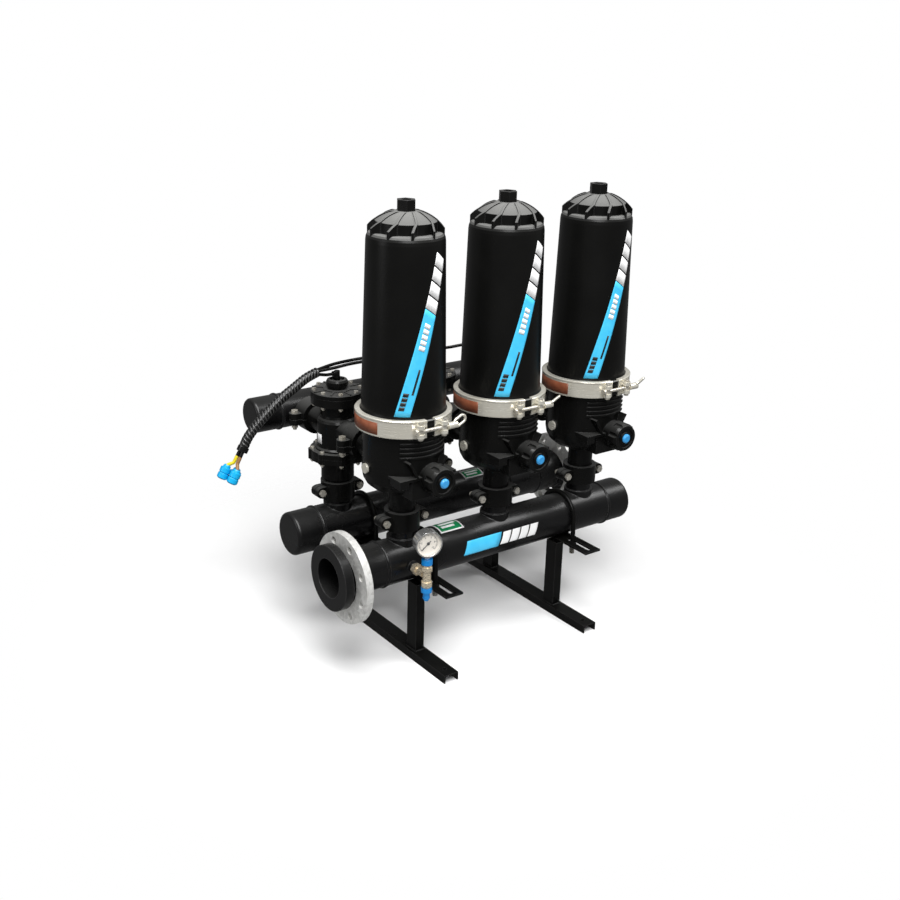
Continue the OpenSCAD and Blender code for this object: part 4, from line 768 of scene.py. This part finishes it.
def threadTree():
    tree, given, leaving = newTree("screwThread", (
        ("Radius", "Float"), ("Length", "Float"), ("Turns", "Float"), ("Depth", "Float"), ("Axis", "Vector"),
        ("Finish", "Material")))
    link = tree.links.new
    coil = addNode(tree, "GeometryNodeCurveSpiral", Resolution=18)
    tooth = addNode(tree, "GeometryNodeCurvePrimitiveCircle", Resolution=4)
    skin = addNode(tree, "GeometryNodeCurveToMesh")
    aim = addNode(tree, "FunctionNodeAlignRotationToVector", axis="Z")
    copy = addNode(tree, "GeometryNodeInstanceOnPoints")
    skin.inputs["Fill Caps"].default_value = True
    link(given.outputs["Turns"], coil.inputs["Rotations"])
    link(given.outputs["Radius"], coil.inputs["Start Radius"])
    link(given.outputs["Radius"], coil.inputs["End Radius"])
    link(given.outputs["Length"], coil.inputs["Height"])
    link(given.outputs["Depth"], tooth.inputs["Radius"])
    link(coil.outputs[0], skin.inputs["Curve"])
    link(tooth.outputs[0], skin.inputs["Profile Curve"])
    link(given.outputs["Axis"], aim.inputs["Vector"])
    link(given.outputs["Geometry"], copy.inputs["Points"])
    link(aim.outputs[0], copy.inputs["Rotation"])
    link(skin.outputs[0], copy.inputs["Instance"])
    endTree(tree, given, leaving, copy.outputs[0])
    return tree


def makeThreads(s):
    tree = threadTree()
    dx, dy = s["clampSpot"]
    clampSpots = [(x + dx, layout["outletY"] + dy, layout["jointZ"]) for x in layout["filterX"]]
    legSpots = [(x, y, s["legEnd"]) for x in s["barX"] for y in s["legs"]]
    for name, spots, axis in (("clamp", clampSpots, (1, 0, 0)), ("uBolt", legSpots, (0, 0, 1))):
        one = s[name]
        mesh = bpy.data.meshes.new(name)
        mesh.from_pydata(spots, [], [])
        piece = runTree(newPiece(name + "Thread", mesh), tree, {
            "Radius": one["r"] - one["depth"] / 2, "Length": one["length"], "Turns": one["length"] / one["pitch"],
            "Depth": one["depth"], "Axis": axis, "Finish": finish[one["look"]]})
        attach(piece, base)


makeThreads(threadSet)
print("threads cut")

# Weld beads where the posts stand on the feet
weldSet = {
    "x": (-0.250, 0.188), "y": (-0.193, 0.069), "foot": 0.021, "half": (0.012, 0.019), "step": 0.0026, "r": 0.0024,
    "vary": (0.85, 1.2), "seed": 7,
}


def weldTree(vary):
    tree, given, leaving = newTree("weldBead", (
        ("Step", "Float"), ("Radius", "Float"), ("Seed", "Int"), ("Finish", "Material")))
    link = tree.links.new
    line = addNode(tree, "GeometryNodeMeshToCurve")
    spots = addNode(tree, "GeometryNodeCurveToPoints", mode="LENGTH")
    drop = addNode(tree, "GeometryNodeMeshIcoSphere", Subdivisions=2)
    size = addNode(tree, "FunctionNodeRandomValue", data_type="FLOAT")
    size.inputs[2].default_value, size.inputs[3].default_value = vary
    copy = addNode(tree, "GeometryNodeInstanceOnPoints")
    link(given.outputs["Geometry"], line.inputs[0])
    link(line.outputs[0], spots.inputs["Curve"])
    link(given.outputs["Step"], spots.inputs["Length"])
    link(given.outputs["Radius"], drop.inputs["Radius"])
    link(given.outputs["Seed"], size.inputs["Seed"])
    link(spots.outputs["Points"], copy.inputs["Points"])
    link(drop.outputs[0], copy.inputs["Instance"])
    link(size.outputs[1], copy.inputs["Scale"])
    endTree(tree, given, leaving, copy.outputs[0])
    return tree


def makeWelds(s):
    tree = weldTree(s["vary"])
    verts, edges = [], []
    for x in s["x"]:
        for y in s["y"]:
            a, b = s["half"]
            start = len(verts)
            verts += [(x + i * a, y + j * b, s["foot"]) for i, j in ((-1, -1), (1, -1), (1, 1), (-1, 1))]
            edges += [(start + k, start + (k + 1) % 4) for k in range(4)]
    mesh = bpy.data.meshes.new("postWelds")
    mesh.from_pydata(verts, edges, [])
    welds = runTree(newPiece("postWelds", mesh), tree, {
        "Step": s["step"], "Radius": s["r"], "Seed": s["seed"], "Finish": finish["paint"]})
    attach(welds, base)


makeWelds(weldSet)
print("welds laid")

# Studio: white floor that fades into a white world, soft boxes
stageSet = {
    "floor": 6.0, "tone": (0.90, 0.90, 0.90), "fade": (0.5, 1.1), "world": 0.14, "shine": 0.18,
    "lamps": (
        ("topBox", (-0.8, -0.6, 3.1), (0.0, 0.0, 0.0), (2.2, 1.0), 74),
        ("frontBox", (-1.3, -2.4, 3.0), (0.0, 0.0, 0.5), (1.8, 1.8), 104),
        ("leftBox", (-3.0, 0.4, 1.4), (0.0, 0.0, 0.6), (0.9, 1.8), 12),
        ("rightBox", (1.9, -1.0, 2.8), (0.0, 0.0, 0.4), (1.4, 1.5), 44),
    ),
}


def makeStage(s):
    bm = bmesh.new()
    bmesh.ops.create_grid(bm, x_segments=1, y_segments=1, size=s["floor"])
    floor = fromBmesh("studioFloor", bm)
    mat, tree, shader = newMaterial("floorWhite", **{
        "Base Color": (*s["tone"], 1), "Roughness": 0.9, "Specular IOR Level": 0.0})
    coords = addNode(tree, "ShaderNodeTexCoord")
    far = addNode(tree, "ShaderNodeVectorMath", operation="LENGTH")
    clear = addNode(tree, "ShaderNodeBsdfTransparent")
    mix = addNode(tree, "ShaderNodeMixShader")
    tree.links.new(coords.outputs["Object"], far.inputs[0])
    tree.links.new(spread(tree, far.outputs["Value"], 0, 1, *s["fade"]), mix.inputs[0])
    tree.links.new(shader.outputs[0], mix.inputs[1])
    tree.links.new(clear.outputs[0], mix.inputs[2])
    tree.links.new(mix.outputs[0], tree.nodes["Material Output"].inputs["Surface"])
    floor.data.materials.append(mat)
    floor.visible_glossy = False
    world = bpy.data.worlds.new("studio")
    bpy.context.scene.world = world
    world.use_nodes = True
    tree = world.node_tree
    light = tree.nodes["Background"]
    light.inputs["Color"].default_value = (1, 1, 1, 1)
    rays = addNode(tree, "ShaderNodeLightPath")
    shiny = mathNode(tree, "MAXIMUM", rays.outputs["Is Glossy Ray"], rays.outputs["Is Transmission Ray"])
    level = mathNode(tree, "MAXIMUM", mathNode(tree, "MULTIPLY", shiny, s["shine"]), rays.outputs["Is Camera Ray"])
    tree.links.new(mathNode(tree, "MAXIMUM", level, s["world"]), light.inputs["Strength"])
    for name, place, aim, size, power in s["lamps"]:
        data = bpy.data.lights.new(name, "AREA")
        data.shape, data.energy = "RECTANGLE", power
        data.size, data.size_y = size
        lamp = bpy.data.objects.new(name, data)
        lamp.location = place
        lamp.rotation_euler = (Vector(aim) - Vector(place)).to_track_quat("-Z", "Y").to_euler()
        bpy.context.collection.objects.link(lamp)


makeStage(stageSet)
print("stage lit")
